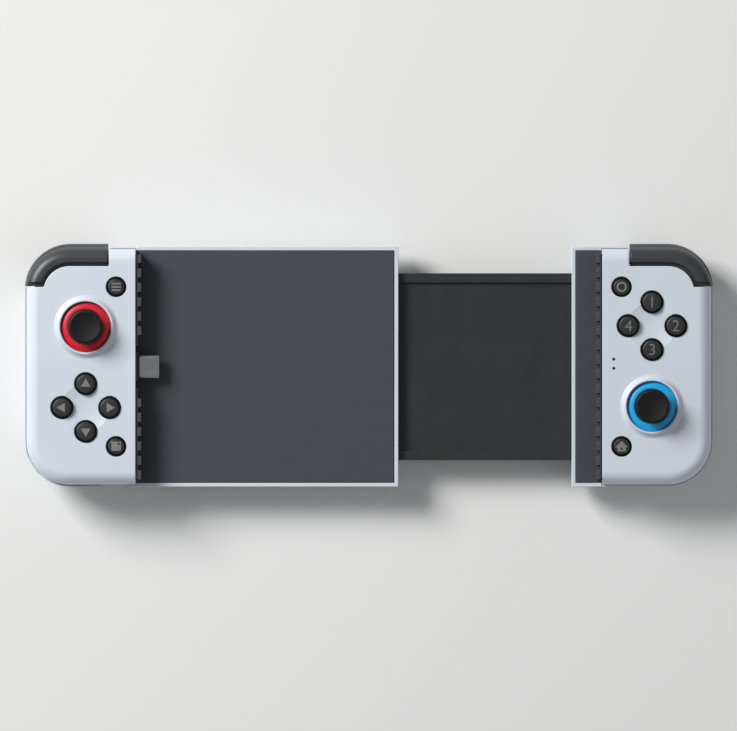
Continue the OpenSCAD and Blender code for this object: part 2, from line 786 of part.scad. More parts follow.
// Bracket on the left board that carries the plug's drum
module plug_cradle() {
    half = cradle_half + cradle_t;
    color("#202225") translate([-drum_x, y_mid, 0]) difference() {
        translate([-cradle_back, -half, board_top])
            cube([cradle_back + drum_x - x_in + panel_proud, 2 * half, drum_z + drum_r - board_top]);
        translate([-drum_r - clear, -cradle_half, board_top - cut]) cube([face_z, 2 * cradle_half, face_z]);
        translate([drum_x - x_in - panel_t - clear, -half - cut, 0])
            cube([face_z, 2 * (half + cut), plug_sill + clear]);
        translate([0, half + cut, drum_z]) rotate([90, 0, 0])
            cylinder(r = drum_pin_r + fit, h = 2 * (half + cut));
    }
}

// Drum that tips the plug up, on two short pins
module plug_drum() {
    color("#18191b") translate([-drum_x, y_mid, drum_z]) difference() {
        rotate([90, 0, 0]) {
            cylinder(r = drum_r, h = drum_len, center = true);
            cylinder(r = drum_pin_r, h = 2 * (cradle_half + drum_pin), center = true);
        }
        along_x(0, drum_r + cut) stadium(plug_w, plug_t);
    }
}

// Metal shell of the plug, hollow from its tip
module plug_shell() {
    color("silver") translate([-drum_x, y_mid, drum_z]) difference() {
        along_x(0, drum_r + plug_len) stadium(plug_w, plug_t);
        along_x(drum_r + plug_floor, plug_len) stadium(plug_w - 2 * plug_wall, plug_t - 2 * plug_wall);
    }
}

// Slot for the charge port in the lower edge of the left grip
module port_cut() {
    depth = wall + rim_step + cut;
    translate([-x_in - port_in, y_bot + depth, port_z]) rotate([90, 0, 0])
        linear_extrude(depth + cut) stadium(port_open[0], port_open[1]);
}

// Metal receptacle under the left board, with its contact tongue
module charge_port() {
    color("silver") translate([-x_in - port_in, y_bot + port_set, port_z]) rotate([-90, 0, 0]) {
        difference() {
            linear_extrude(port_len) stadium(port_w, port_t);
            translate([0, 0, -cut]) linear_extrude(port_len - port_wall + cut)
                stadium(port_w - 2 * port_wall, port_t - 2 * port_wall);
        }
        translate([-port_tongue[0] / 2, -port_tongue[1] / 2, cut])
            cube([port_tongue[0], port_tongue[1], port_len - cut]);
    }
}

// Boards, button mats and screws

module board(side) {
    color("darkgreen") on_side(side) translate([0, 0, board_z]) linear_extrude(board_t) difference() {
        intersection() {
            grip_outline(board_inset);
            translate([-x_out, y_bot]) square([grip_w - max(panel_t, wall) - clear, body_d]);
        }
        shoulder_band(bay_r - 2, corner_r + cut, -x_in, corner_top);
        at(on_left(stick_spot(side))) square(2 * (module_half + clear), center = true);
        for (p = screw_spots) at(grip_spot(p)) circle(screw_r + clear);
    }
}

// Rubber sheet on the board with a dome under each button
module button_mat(side) {
    color("#8a8d92") {
        translate([0, 0, board_top]) linear_extrude(mat_t) {
            for (p = key_spots(side)) at(p) circle(button_r + flange_w);
            for (p = small_spots(side)) at(p) circle(small_r + mat_rim);
            at(cluster_spot(side)) square(2 * [cluster_r, button_r], center = true);
            at(cluster_spot(side)) square(2 * [button_r, cluster_r], center = true);
        }
        for (p = key_spots(side)) at(p, board_top) key_dome(button_r);
        for (p = small_spots(side)) at(p, board_top) key_dome(small_r);
    }
}

module key_dome(r) cylinder(r1 = r - dome_foot, r2 = r - dome_head, h = dome_top - board_top);

module screws(side) {
    color("dimgray") on_side(side) for (p = screw_spots) at(grip_spot(p), head_seat) {
        cylinder(r = screw_r, h = screw_len);
        translate([0, 0, -head_h]) cylinder(r = head_r, h = head_h);
    }
}

// Buttons: a round key with a crowned top, and a flange that holds it under the face

module key(spot, r, proud) {
    top = face_z + proud;
    color("#2f3133") at(spot) rotate_extrude() intersection() {
        union() {
            translate([0, stem_bot]) square([r - stem_step, flange_top - stem_bot]);
            translate([0, flange_top - flange_t]) square([r + flange_w, flange_t]);
            translate([0, flange_top]) edge_section(r, top - flange_top, button_edge);
        }
        translate([0, top - button_crown]) circle(button_crown, $fn = fine);
    }
}

module cluster_key(side, way) key(key_spot(side, way), button_r, button_proud);

module small_key(side, way) key(small_spot(side, way), small_r, small_proud);

// Light pipes beside the action buttons
module indicator_lenses() {
    color("white") for (p = lens_spots) at([x_in + p[0], y_mid + p[1]]) {
        translate([0, 0, skin_z - lens_flange[1]]) cylinder(r = lens_flange[0], h = lens_flange[1]);
        translate([0, 0, skin_z]) cylinder(r = lens_r, h = wall);
    }
}

// Sticks: a shaft with a dust dome in a two-axis gimbal, whose carrier clicks down in a module on the board

// Coloured ring, crowned so that it falls towards the collar
module stick_ring(side) {
    inner = ring_eye_r + ring_slant;
    reach = ring_r - inner - ring_flat;
    crown = (reach * reach + ring_fall * ring_fall) / (2 * ring_fall);
    color(side == LEFT ? "#e0233c" : "#1e96d2") at(stick_spot(side)) rotate_extrude() intersection() {
        polygon([[ring_eye_r, ring_bot], [ring_skirt_r, ring_bot], [ring_skirt_r, ring_step],
            [ring_r, ring_step], [ring_r, ring_top], [inner, ring_top]]);
        translate([inner + ring_flat, ring_top - crown]) circle(crown, $fn = fine);
    }
}

module stick_module(side) {
    inner = 2 * (module_half - module_wall);
    outer = 2 * module_half;
    lip = outer + 2 * module_flange;
    top = board_top + module_flange_t;
    color("silver") at(stick_spot(side)) {
        difference() {
            union() {
                translate([0, 0, module_bot]) linear_extrude(top - module_bot) square(outer, center = true);
                translate([0, 0, board_top]) linear_extrude(module_flange_t) square(lip, center = true);
            }
            translate([0, 0, module_bot + module_floor]) linear_extrude(face_z)
                square(inner, center = true);
        }
        translate([0, 0, module_bot + module_floor]) cylinder(r = switch[0], h = switch[1]);
    }
}

// Frame that slides down in the module and carries the yoke's pins
module stick_carrier(side) {
    color("#3a3a3a") at(stick_spot(side)) difference() {
        translate([0, 0, carrier_bot]) linear_extrude(carrier_top - carrier_bot)
            square(2 * carrier_half, center = true);
        translate([0, 0, carrier_bot + carrier_floor]) linear_extrude(face_z)
            square(2 * carrier_in, center = true);
        translate([-x_in, 0, pivot_z]) rotate([0, 90, 0])
            cylinder(r = gimbal_pin_r + fit, h = 2 * x_in);
    }
}

// Ring between the carrier and the shaft: pins along X, bores along Y
module stick_yoke(side) {
    color("#d8d4c8") at(stick_spot(side), pivot_z) {
        difference() {
            translate([0, 0, -yoke_h / 2]) linear_extrude(yoke_h) difference() {
                square(2 * yoke_half, center = true);
                square(2 * yoke_in, center = true);
            }
            rotate([90, 0, 0]) cylinder(r = gimbal_pin_r + fit, h = 2 * yoke_half + cut, center = true);
        }
        for (turn = [0, 180]) rotate([0, 90, turn]) translate([0, 0, yoke_in])
            cylinder(r = gimbal_pin_r, h = gimbal_pin - yoke_in);
    }
}

// Shaft with its dust dome and the pins that sit in the yoke
module stick_shaft(side) {
    color("#242527") at(stick_spot(side), pivot_z) {
        rotate_extrude() {
            translate([0, -hub_h / 2]) square([hub_r, hub_h]);
            square([shaft_r, cap_socket - pivot_z]);
            intersection() {
                difference() {
                    circle(dome_r);
                    circle(dome_r - dome_t);
                }
                polygon([[0, 0], 2 * dome_r * [sin(dome_angle), cos(dome_angle)], [0, 2 * dome_r]]);
            }
        }
        rotate([90, 0, 0]) cylinder(r = gimbal_pin_r, h = 2 * trunnion, center = true);
    }
}

// Thumb cap with a dished top
module stick_cap(side) {
    top = face_z + cap_h;
    hollow_r = cap_r - cap_rim;
    ball = (hollow_r * hollow_r + cap_dish * cap_dish) / (2 * cap_dish);
    color("#1b1b1d") at(stick_spot(side)) rotate_extrude() difference() {
        union() {
            polygon([[0, cap_under - cap_cone], [shaft_r + cap_cone, cap_under - cap_cone],
                [cap_r, cap_under], [cap_r, top - cap_edge], [cap_r - cap_edge, top], [0, top]]);
            translate([cap_r - cap_edge, top - cap_edge]) circle(cap_edge);
        }
        translate([0, cap_under - 2 * cap_cone]) square([shaft_r, cap_socket - cap_under + 2 * cap_cone]);
        translate([0, top - cap_dish + ball]) circle(ball, $fn = fine);
    }
}

// Bumpers: a hollow rounded bar round the shoulder that rocks on a post under the cover

module bumper_section() {
    outer = corner_r - bumper_set;
    step = corner_r - band_w + ledge_w;
    inner = corner_r - band_w - bumper_under;
    roof = ledge_top - bumper_shell;
    difference() {
        union() {
            translate([step, bumper_z]) edge_section(outer - step, bumper_top - bumper_z, bumper_edge);
            translate([inner, bumper_z]) square([step - inner, ledge_top - bumper_z]);
        }
        translate([inner + bumper_shell, bumper_z - cut])
            edge_section(outer - inner - 2 * bumper_shell, roof - bumper_z + cut,
                bumper_edge - bumper_shell);
    }
}

module bumper(side) {
    color("#2d2e31") on_side(side) difference() {
        union() {
            difference() {
                shoulder_sweep(end_x - bumper_gap) bumper_section();
                translate([-x_out, corner_top - cut, 0])
                    cube([corner_r, end_y + foot_gap - corner_top + cut, 2 * face_z]);
                translate([-x_out, corner_top - cut, ledge_top])
                    cube([corner_r, end_y + foot_gap + ledge_w - corner_top + cut, face_z]);
            }
            at(rocker, lug_z) cylinder(r = lug_r, h = lug_h);
            at(rocker, lug_z) translate([-arm_w / 2, 0, 0]) cube([arm_w, corner_r - band_w - arm_w, lug_h]);
        }
        at(rocker) cylinder(r = rocker_r + fit, h = face_z);
    }
}

// Triggers: a rounded skin round the shoulder below the bumper, on a steel pin between two ears

module trigger_section() {
    reach = 2 * trigger_r;
    middle = (trigger_high + trigger_low) / 2;
    translate([corner_r - trigger_r, trigger_z]) intersection() {
        difference() {
            circle(trigger_r);
            circle(trigger_r - trigger_skin);
        }
        polygon([[0, 0], for (a = [trigger_low, middle, trigger_high]) reach * [cos(a), sin(a)]]);
    }
}

module trigger(side) {
    x0 = ear_x - ear_span + ear_gap;
    length = ear_span - 2 * ear_gap;
    web_l = trigger_y + trigger_r - trigger_skin + root - trigger_pin_y;
    color("#3b3d41") on_side(side) difference() {
        union() {
            difference() {
                shoulder_sweep(end_x - bumper_gap, trigger_proud) trigger_section();
                translate([-x_out - cut, trigger_pin_y, trigger_pin_z]) rotate([trigger_turn, 0, 0])
                    translate([0, end_y + bumper_gap - trigger_pin_y - corner_r, -face_z])
                        cube([corner_r, corner_r, 2 * face_z]);
            }
            translate([x0, trigger_pin_y, trigger_pin_z]) rotate([0, 90, 0]) {
                cylinder(r = trigger_tube_r, h = length);
                cylinder(r = trigger_hub_r, h = trigger_hub_len);
                translate([0, 0, length - trigger_hub_len])
                    cylinder(r = trigger_hub_r, h = trigger_hub_len);
            }
            for (x = [x0, x0 + length - web_t]) translate([x, trigger_pin_y, trigger_z - web_h[0]])
                cube([web_t, web_l, web_h[0] + web_h[1]]);
        }
        translate([x0 - cut, trigger_pin_y, trigger_pin_z]) rotate([0, 90, 0])
            cylinder(r = pin_r + fit, h = length + 2 * cut);
    }
}

module trigger_pin(side) {
    color("silver") on_side(side) translate([ear_x - ear_span - ear_t, trigger_pin_y, trigger_pin_z])
        rotate([0, 90, 0]) cylinder(r = pin_r, h = ear_span + 2 * ear_t);
}

// Torsion spring round the trigger's hub, with a leg to the cover and a leg to the trigger
module trigger_spring(side) {
    x0 = ear_x - (ear_span + coil_len) / 2;
    steps = coil_turns * turn_steps;
    place = [x0, trigger_pin_y, trigger_pin_z];
    turns = [for (i = [0 : steps])
        let (a = 180 - 360 * i / turn_steps)
        place + [coil_len * i / steps, coil_r * cos(a), coil_r * sin(a)]];
    first = place - [0, coil_r, coil_leg];
    last = place + [coil_len, coil_r, -coil_leg];
    color("silver") on_side(side) wire(concat([first], turns, [last]), coil_wire_r, [1, 0, 0]);
}

front_cover(LEFT);  // left_front_cover
rear_cover(LEFT);  // left_rear_cover
tray_base();
tray_cover();
tray_pad();
wall_panel(LEFT);  // left_wall_panel
plug_cradle();
plug_drum();
plug_shell();
charge_port();
board(LEFT);  // left_board
button_mat(LEFT);  // left_button_mat
stick_ring(LEFT);  // left_stick_ring
stick_module(LEFT);  // left_stick_module
stick_carrier(LEFT);  // left_stick_carrier
stick_yoke(LEFT);  // left_stick_yoke
stick_shaft(LEFT);  // left_stick_shaft
stick_cap(LEFT);  // left_stick_cap
bumper(LEFT);  // left_bumper
trigger(LEFT);  // left_trigger
trigger_pin(LEFT);  // left_trigger_pin
trigger_spring(LEFT);  // left_trigger_spring
cluster_key(LEFT, UP);  // dpad_up
cluster_key(LEFT, DOWN);  // dpad_down
cluster_key(LEFT, WEST);  // dpad_left
cluster_key(LEFT, EAST);  // dpad_right
small_key(LEFT, UP);  // menu_button
small_key(LEFT, DOWN);  // capture_button
screws(LEFT);  // left_screws
tension_springs();
flex_cable();
front_cover(RIGHT);  // right_front_cover
rear_cover(RIGHT);  // right_rear_cover
slider_plate();
right_tray_frame();
right_tray_pad();
wall_panel(RIGHT);  // right_wall_panel
board(RIGHT);  // right_board
button_mat(RIGHT);  // right_button_mat
stick_ring(RIGHT);  // right_stick_ring
stick_module(RIGHT);  // right_stick_module
stick_carrier(RIGHT);  // right_stick_carrier
stick_yoke(RIGHT);  // right_stick_yoke
stick_shaft(RIGHT);  // right_stick_shaft
stick_cap(RIGHT);  // right_stick_cap
bumper(RIGHT);  // right_bumper
trigger(RIGHT);  // right_trigger
trigger_pin(RIGHT);  // right_trigger_pin
trigger_spring(RIGHT);  // right_trigger_spring
cluster_key(RIGHT, UP);  // action_up
cluster_key(RIGHT, DOWN);  // action_down
cluster_key(RIGHT, WEST);  // action_left
cluster_key(RIGHT, EAST);  // action_right
small_key(RIGHT, UP);  // option_button
small_key(RIGHT, DOWN);  // home_button
indicator_lenses();
screws(RIGHT);  // right_screws
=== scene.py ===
import json
import math

import bmesh
import bpy
from mathutils import Matrix, Vector, geometry, kdtree

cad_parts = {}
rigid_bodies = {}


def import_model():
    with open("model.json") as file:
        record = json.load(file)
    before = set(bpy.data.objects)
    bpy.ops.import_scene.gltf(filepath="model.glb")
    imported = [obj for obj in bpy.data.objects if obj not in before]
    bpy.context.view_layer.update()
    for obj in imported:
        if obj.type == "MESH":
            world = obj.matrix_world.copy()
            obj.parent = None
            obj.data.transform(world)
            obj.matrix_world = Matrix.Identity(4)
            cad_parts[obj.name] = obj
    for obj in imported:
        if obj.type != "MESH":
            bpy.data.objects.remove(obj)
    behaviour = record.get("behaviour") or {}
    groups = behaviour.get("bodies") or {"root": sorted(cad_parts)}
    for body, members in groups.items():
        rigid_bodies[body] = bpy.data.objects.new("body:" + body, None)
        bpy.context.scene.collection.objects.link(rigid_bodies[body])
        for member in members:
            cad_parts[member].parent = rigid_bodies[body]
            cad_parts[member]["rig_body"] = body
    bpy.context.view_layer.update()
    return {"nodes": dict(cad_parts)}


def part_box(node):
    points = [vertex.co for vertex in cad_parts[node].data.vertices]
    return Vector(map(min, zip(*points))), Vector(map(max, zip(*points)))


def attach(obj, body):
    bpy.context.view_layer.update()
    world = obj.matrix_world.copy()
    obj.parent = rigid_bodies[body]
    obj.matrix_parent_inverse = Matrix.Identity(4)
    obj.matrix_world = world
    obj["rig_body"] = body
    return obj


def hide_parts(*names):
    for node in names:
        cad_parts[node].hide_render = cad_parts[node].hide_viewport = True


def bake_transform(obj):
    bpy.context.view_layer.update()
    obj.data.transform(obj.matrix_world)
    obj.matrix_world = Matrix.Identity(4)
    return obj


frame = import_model()


# Rear covers: the white lower half of each grip, with the hump that fills the palm.
# They are moulded in ABS with a fine eroded skin, and four screws hold each to its front cover.

MM = 0.001
WHITE = (212, 218, 227)
SHELL_EDGE = 0.25
PLASTIC_GRAIN = 2600.0
PLASTIC_BUMP = 0.35
PLASTIC_DEPTH = 0.02
PLAIN_SHINE = 0.5
WELD = 0.002          # vertices closer than this are one
FLAT_TURN = 0.4       # faces that turn less than this are one, in degrees
FOLD_TURN = 33        # edges that turn more than this are folds, in degrees
RUN_ON = -0.5         # cosine between two folds, below which one runs on in the other
CORNER = 0.6          # cosine between three folds, above which they make no clean corner
FOLDED_BACK = -0.9    # cosine between two faces, below which one lies back on the other
EASING_TRIES = 8
EASING_REACH = 2.0    # clear length round a tangle, in widths of the easing


def linear(colour):
    """Turns a colour of 0 to 255, as seen on a screen, into the light that it reflects."""
    shares = [value / 255 for value in colour]
    return [c / 12.92 if c <= 0.04045 else ((c + 0.055) / 1.055) ** 2.4 for c in shares] + [1]


def new_skin(name, inputs):
    """Starts a shader node group for a surface, and returns its tree, inputs and outputs."""
    tree = bpy.data.node_groups.new(name, "ShaderNodeTree")
    for label, value in inputs.items():
        kind = "NodeSocketFloat" if isinstance(value, float) else "NodeSocketColor"
        tree.interface.new_socket(label, in_out="INPUT", socket_type=kind).default_value = value
    for label, kind in (("Colour", "NodeSocketColor"), ("Roughness", "NodeSocketFloat"),
                        ("Height", "NodeSocketFloat")):
        tree.interface.new_socket(label, in_out="OUTPUT", socket_type=kind)
    given = tree.nodes.new("NodeGroupInput").outputs
    return tree, given, tree.nodes.new("NodeGroupOutput").inputs


def feed(tree, value, socket):
    """Gives a socket a number, or a link from another socket."""
    if isinstance(value, (int, float)):
        socket.default_value = value
    else:
        tree.links.new(value, socket)


def spread(tree, value, low, high, start=0.3, stop=0.7):
    """Spreads a noise value over the range from low to high, which are numbers or sockets."""
    node = tree.nodes.new("ShaderNodeMapRange")
    tree.links.new(value, node.inputs["Value"])
    node.inputs["From Min"].default_value = start
    node.inputs["From Max"].default_value = stop
    feed(tree, low, node.inputs["To Min"])
    feed(tree, high, node.inputs["To Max"])
    return node.outputs["Result"]


def noise(tree, coords, scale, detail=2.0):
    """Adds a noise texture on object coordinates. The scale is a number or a socket, per metre."""
    node = tree.nodes.new("ShaderNodeTexNoise")
    tree.links.new(coords, node.inputs["Vector"])
    node.inputs["Detail"].default_value = detail
    feed(tree, scale, node.inputs["Scale"])
    return node.outputs["Fac"]


def tinted(tree, colour, value):
    """Lightens and darkens a colour by a value around 1."""
    node = tree.nodes.new("ShaderNodeHueSaturation")
    tree.links.new(colour, node.inputs["Color"])
    tree.links.new(value, node.inputs["Value"])
    return node.outputs["Color"]


def moulded_skin():
    """Group for moulded plastic: an eroded grain, a slow drift of colour and handling marks."""
    tree, given, made = new_skin("Moulded skin", {
        "Colour": (0.5, 0.5, 0.5, 1), "Grain": PLASTIC_GRAIN, "Smooth": 0.3, "Rough": 0.45})
    coords = tree.nodes.new("ShaderNodeTexCoord").outputs["Object"]
    drift = spread(tree, noise(tree, coords, 34.0, 3.0), 0.97, 1.03)
    marks = noise(tree, coords, 95.0, 6.0)
    tree.links.new(tinted(tree, given["Colour"], drift), made["Colour"])
    tree.links.new(spread(tree, marks, given["Smooth"], given["Rough"]), made["Roughness"])
    tree.links.new(noise(tree, coords, given["Grain"]), made["Height"])
    return tree


def surfaced(name, skin, settings, bump, depth):
    """Makes a material whose colour, roughness and relief come from a skin group."""
    material = bpy.data.materials.new(name)
    material.use_nodes = True
    tree = material.node_tree
    shader = tree.nodes["Principled BSDF"]
    group = tree.nodes.new("ShaderNodeGroup")
    group.node_tree = skin
    for label, value in settings.items():
        group.inputs[label].default_value = value
    relief = tree.nodes.new("ShaderNodeBump")
    relief.inputs["Strength"].default_value = bump
    relief.inputs["Distance"].default_value = depth * MM
    tree.links.new(group.outputs["Colour"], shader.inputs["Base Color"])
    tree.links.new(group.outputs["Roughness"], shader.inputs["Roughness"])
    tree.links.new(group.outputs["Height"], relief.inputs["Height"])
    tree.links.new(relief.outputs["Normal"], shader.inputs["Normal"])
    return material, shader


moulding = moulded_skin()


def plastic(name, colour, smooth, rough, grain=PLASTIC_GRAIN, bump=PLASTIC_BUMP,
            shine=PLAIN_SHINE):
    """A moulded plastic of a colour, between two roughnesses."""
    settings = {"Colour": linear(colour), "Grain": grain, "Smooth": smooth, "Rough": rough}
    material, shader = surfaced(name, moulding, settings, bump, PLASTIC_DEPTH)
    shader.inputs["Specular IOR Level"].default_value = shine
    return material


def soft_folds(work, turn):
    """The folds that a mould rounds: those that run on at both ends, or end in a clean corner."""
    folds = [edge for edge in work.edges if edge.calc_face_angle(0) > math.radians(turn)]
    ways = {}
    for edge in folds:
        for vert in edge.verts:
            out = (edge.other_vert(vert).co - vert.co).normalized()
            ways.setdefault(vert, []).append(out)
    whole = {vert for vert, out in ways.items()
             if len(out) == 2 and out[0].dot(out[1]) < RUN_ON
             or len(out) == 3 and max(abs(out[i].dot(out[i - 1])) for i in range(3)) < CORNER}
    return [edge for edge in folds if whole.issuperset(edge.verts)]


def roomy(work, folds, width, segments):
    """Leaves out the folds whose rounding would run over what is beside them."""
    for _ in range(EASING_TRIES):
        work.edges.index_update()
        trial = work.copy()
        trial.edges.ensure_lookup_table()
        bmesh.ops.bevel(trial, geom=[trial.edges[edge.index] for edge in folds], affect="EDGES",
                        offset=width * MM, offset_type="OFFSET", segments=segments, profile=0.5,
                        material=-1, loop_slide=False)
        bmesh.ops.triangulate(trial, faces=trial.faces)
        trial.normal_update()
        tangles = [edge.verts[0].co.copy() for edge in trial.edges if len(edge.link_faces) == 2
                   and edge.link_faces[0].normal.dot(edge.link_faces[1].normal) < FOLDED_BACK]
        trial.free()
        if not tangles:
            break
        near = point_tree(tangles)
        folds = [edge for edge in folds if clear_of(near, *edge.verts, EASING_REACH * width * MM)]
    return folds


def point_tree(points):
    """A tree of points, to find the nearest one to a place."""
    near = kdtree.KDTree(len(points))
    for i, point in enumerate(points):
        near.insert(point, i)
    near.balance()
    return near


def clear_of(near, start, end, reach):
    """Tells whether an edge keeps a distance from the points of a tree."""
    steps = math.ceil((end.co - start.co).length / reach)
    places = (start.co.lerp(end.co, i / max(steps, 1)) for i in range(steps + 1))
    return all(near.find(place)[2] > reach for place in places)


def put(name, work, materials, body, width=0, segments=2, turn=FOLD_TURN, crisp=(), nodes=()):
    """Finishes a bmesh as a piece on a body, with folds eased to a width, in place of CAD nodes."""
    mesh = bpy.data.meshes.new(name)
    for edge in work.edges:
        edge.smooth = edge.calc_face_angle(0) < math.radians(turn) and edge not in crisp
    for face in work.faces:
        face.smooth = True
    if width:
        weight = work.edges.layers.float.new("bevel_weight_edge")
        for edge in roomy(work, soft_folds(work, turn), width, segments):
            edge[weight] = 1
    work.to_mesh(mesh)
    work.free()
    if "custom_normal" in mesh.attributes:
        mesh.attributes.remove(mesh.attributes["custom_normal"])
    for material in materials:
        mesh.materials.append(material)
    piece = bpy.data.objects.new(name, mesh)
    bpy.context.scene.collection.objects.link(piece)
    if width:
        ease = piece.modifiers.new("Eased edges", "BEVEL")
        ease.width = width * MM
        ease.segments = segments
        ease.limit_method = "WEIGHT"
        ease.loop_slide = False
        ease.use_clamp_overlap = False
        even = piece.modifiers.new("Even shading", "WEIGHTED_NORMAL")
        even.keep_sharp = True
    if body:
        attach(piece, body)
    for node in nodes:
        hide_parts(node)
    return piece


def cad_shape(node):
    """A bmesh of a CAD node, with its loose triangles merged into whole faces."""
    work = bmesh.new()
    work.from_mesh(frame["nodes"][node].data)
    bmesh.ops.remove_doubles(work, verts=work.verts, dist=WELD * MM)
    bmesh.ops.dissolve_limit(work, angle_limit=math.radians(FLAT_TURN), verts=work.verts,
                             edges=work.edges)
    return work


def eased(node, material, width, segments=2):
    """Puts a node's own shape in its place, with its edges rounded as a mould rounds them."""
    return put(node + "_eased", cad_shape(node), [material], frame["nodes"][node]["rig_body"],
               width, segments, nodes=[node])


white_shell = plastic("white_shell", WHITE, 0.3, 0.42)
for side in ("left", "right"):
    eased(side + "_rear_cover", white_shell, SHELL_EDGE)


# Tray: a white sleeve beside the left grip, clipped together from a moulded base and cover,
# and a short frame of the same kind on the right grip.
# Grey rubber pads are glued inside the rims, so that nothing slides on them.

for node in ("tray_base", "tray_cover", "right_tray_frame"):
    eased(node, white_shell, SHELL_EDGE)

RUBBER_DOTS = 1800.0
RUBBER_BUMP = 0.5
RUBBER_DEPTH = 0.03


def stippled_skin():
    """Group for moulded rubber: a close field of raised dots, and a dusty bloom."""
    tree, given, made = new_skin("Stippled skin", {
        "Colour": (0.1, 0.1, 0.1, 1), "Dots": RUBBER_DOTS, "Smooth": 0.6, "Rough": 0.8})
    coords = tree.nodes.new("ShaderNodeTexCoord").outputs["Object"]
    dots = tree.nodes.new("ShaderNodeTexVoronoi")
    tree.links.new(coords, dots.inputs["Vector"])
    tree.links.new(given["Dots"], dots.inputs["Scale"])
    domes = spread(tree, dots.outputs["Distance"], 1.0, 0.0, 0.15, 0.5)
    bloom = noise(tree, coords, 260.0, 4.0)
    dusty = tinted(tree, given["Colour"], spread(tree, bloom, 0.95, 1.06))
    tree.links.new(dusty, made["Colour"])
    tree.links.new(spread(tree, bloom, given["Smooth"], given["Rough"]), made["Roughness"])
    tree.links.new(domes, made["Height"])
    return tree


stipple = stippled_skin()


def rubber(name, colour, smooth, rough, dots=RUBBER_DOTS, bump=RUBBER_BUMP, shine=PLAIN_SHINE):
    """A moulded rubber of a colour, between two roughnesses."""
    settings = {"Colour": linear(colour), "Dots": dots, "Smooth": smooth, "Rough": rough}
    material, shader = surfaced(name, stipple, settings, bump, RUBBER_DEPTH)
    shader.inputs["Specular IOR Level"].default_value = shine
    return material


tray_rubber = rubber("tray_rubber", (62, 64, 70), 0.6, 0.7)
for node in ("tray_pad", "right_tray_pad"):
    eased(node, tray_rubber, width=0.2)


# Slider: a black glass-filled plate on the right grip that runs in the tray, with a rail along
# each edge. Two coil springs of drawn wire pull it in, hooked over posts.
# A waved ribbon of copper film carries the right grip's signals.

slider_plastic = plastic("slider_plastic", (38, 40, 43), 0.4, 0.55)
eased("slider_plate", slider_plastic, width=0.2)

METAL_LINES = 4000.0
METAL_BUMP = 0.25
METAL_DEPTH = 0.01
METAL_STRETCH = (0.06, 1, 1)
WIRE_FACETS = 3       # steps in each quarter of a wire's section
FINE_WELD = 0.001


def drawn_skin():
    """Group for rolled and drawn metal: fine lines along X, and a faint cloud of polish."""
    tree, given, made = new_skin("Drawn skin", {
        "Colour": (0.7, 0.7, 0.7, 1), "Lines": METAL_LINES, "Smooth": 0.2, "Rough": 0.35})
    coords = tree.nodes.new("ShaderNodeTexCoord").outputs["Object"]
    stretch = tree.nodes.new("ShaderNodeMapping")
    stretch.inputs["Scale"].default_value = METAL_STRETCH
    tree.links.new(coords, stretch.inputs["Vector"])
    lines = noise(tree, stretch.outputs["Vector"], given["Lines"])
    cloud = noise(tree, coords, 220.0, 3.0)
    lined = tinted(tree, given["Colour"], spread(tree, lines, 0.93, 1.05))
    tree.links.new(lined, made["Colour"])
    tree.links.new(spread(tree, cloud, given["Smooth"], given["Rough"]), made["Roughness"])
    tree.links.new(lines, made["Height"])
    return tree


drawn = drawn_skin()


def metal(name, colour, smooth, rough):
    """A drawn metal of a colour, between two roughnesses."""
    settings = {"Colour": linear(colour), "Lines": METAL_LINES, "Smooth": smooth, "Rough": rough}
    material, shader = surfaced(name, drawn, settings, METAL_BUMP, METAL_DEPTH)
    shader.inputs["Metallic"].default_value = 1
    return material


spring_steel = metal("spring_steel", (196, 197, 200), 0.18, 0.32)


def meshed(curve):
    """A bmesh of a curve, which is used up."""
    line = bpy.data.objects.new(curve.name, curve)
    bpy.context.scene.collection.objects.link(line)
    shown = line.evaluated_get(bpy.context.evaluated_depsgraph_get())
    mesh = bpy.data.meshes.new_from_object(shown)
    work = bmesh.new()
    work.from_mesh(mesh)
    bpy.data.objects.remove(line)
    bpy.data.curves.remove(curve)
    bpy.data.meshes.remove(mesh)
    return work


def wire(name, points, radius):
    """A bmesh of round wire along points in millimetres, capped at its ends."""
    curve = bpy.data.curves.new(name, "CURVE")
    curve.dimensions = "3D"
    curve.bevel_depth = radius * MM
    curve.bevel_resolution = WIRE_FACETS
    curve.use_fill_caps = True
    spline = curve.splines.new("POLY")
    spline.points.add(len(points) - 1)
    for point, spot in zip(spline.points, points):
        point.co = (*(c * MM for c in spot), 1)
    work = meshed(curve)
    bmesh.ops.remove_doubles(work, verts=work.verts, dist=FINE_WELD * MM)
    bmesh.ops.recalc_face_normals(work, faces=work.faces)
    return work


def joined(parts):
    """One bmesh of several."""
    whole = bmesh.new()
    for part in parts:
        mesh = bpy.data.meshes.new("part")
        part.to_mesh(mesh)
        part.free()
        whole.from_mesh(mesh)
        bpy.data.meshes.remove(mesh)
    return whole


SPRING_X = (-110.6, -14.6)
SPRING_Y = (-27.525, 26.475)
SPRING_Z = 10.1
SPRING_WIRE_R = 0.35
SPRING_LEAD = 3
HOOK_R = 1.7
HOOK_TURNS = (range(300, 80, -10), range(90, -130, -10))
COIL_R = 1.7
COIL_TURNS = 18
COIL_STEPS = 24


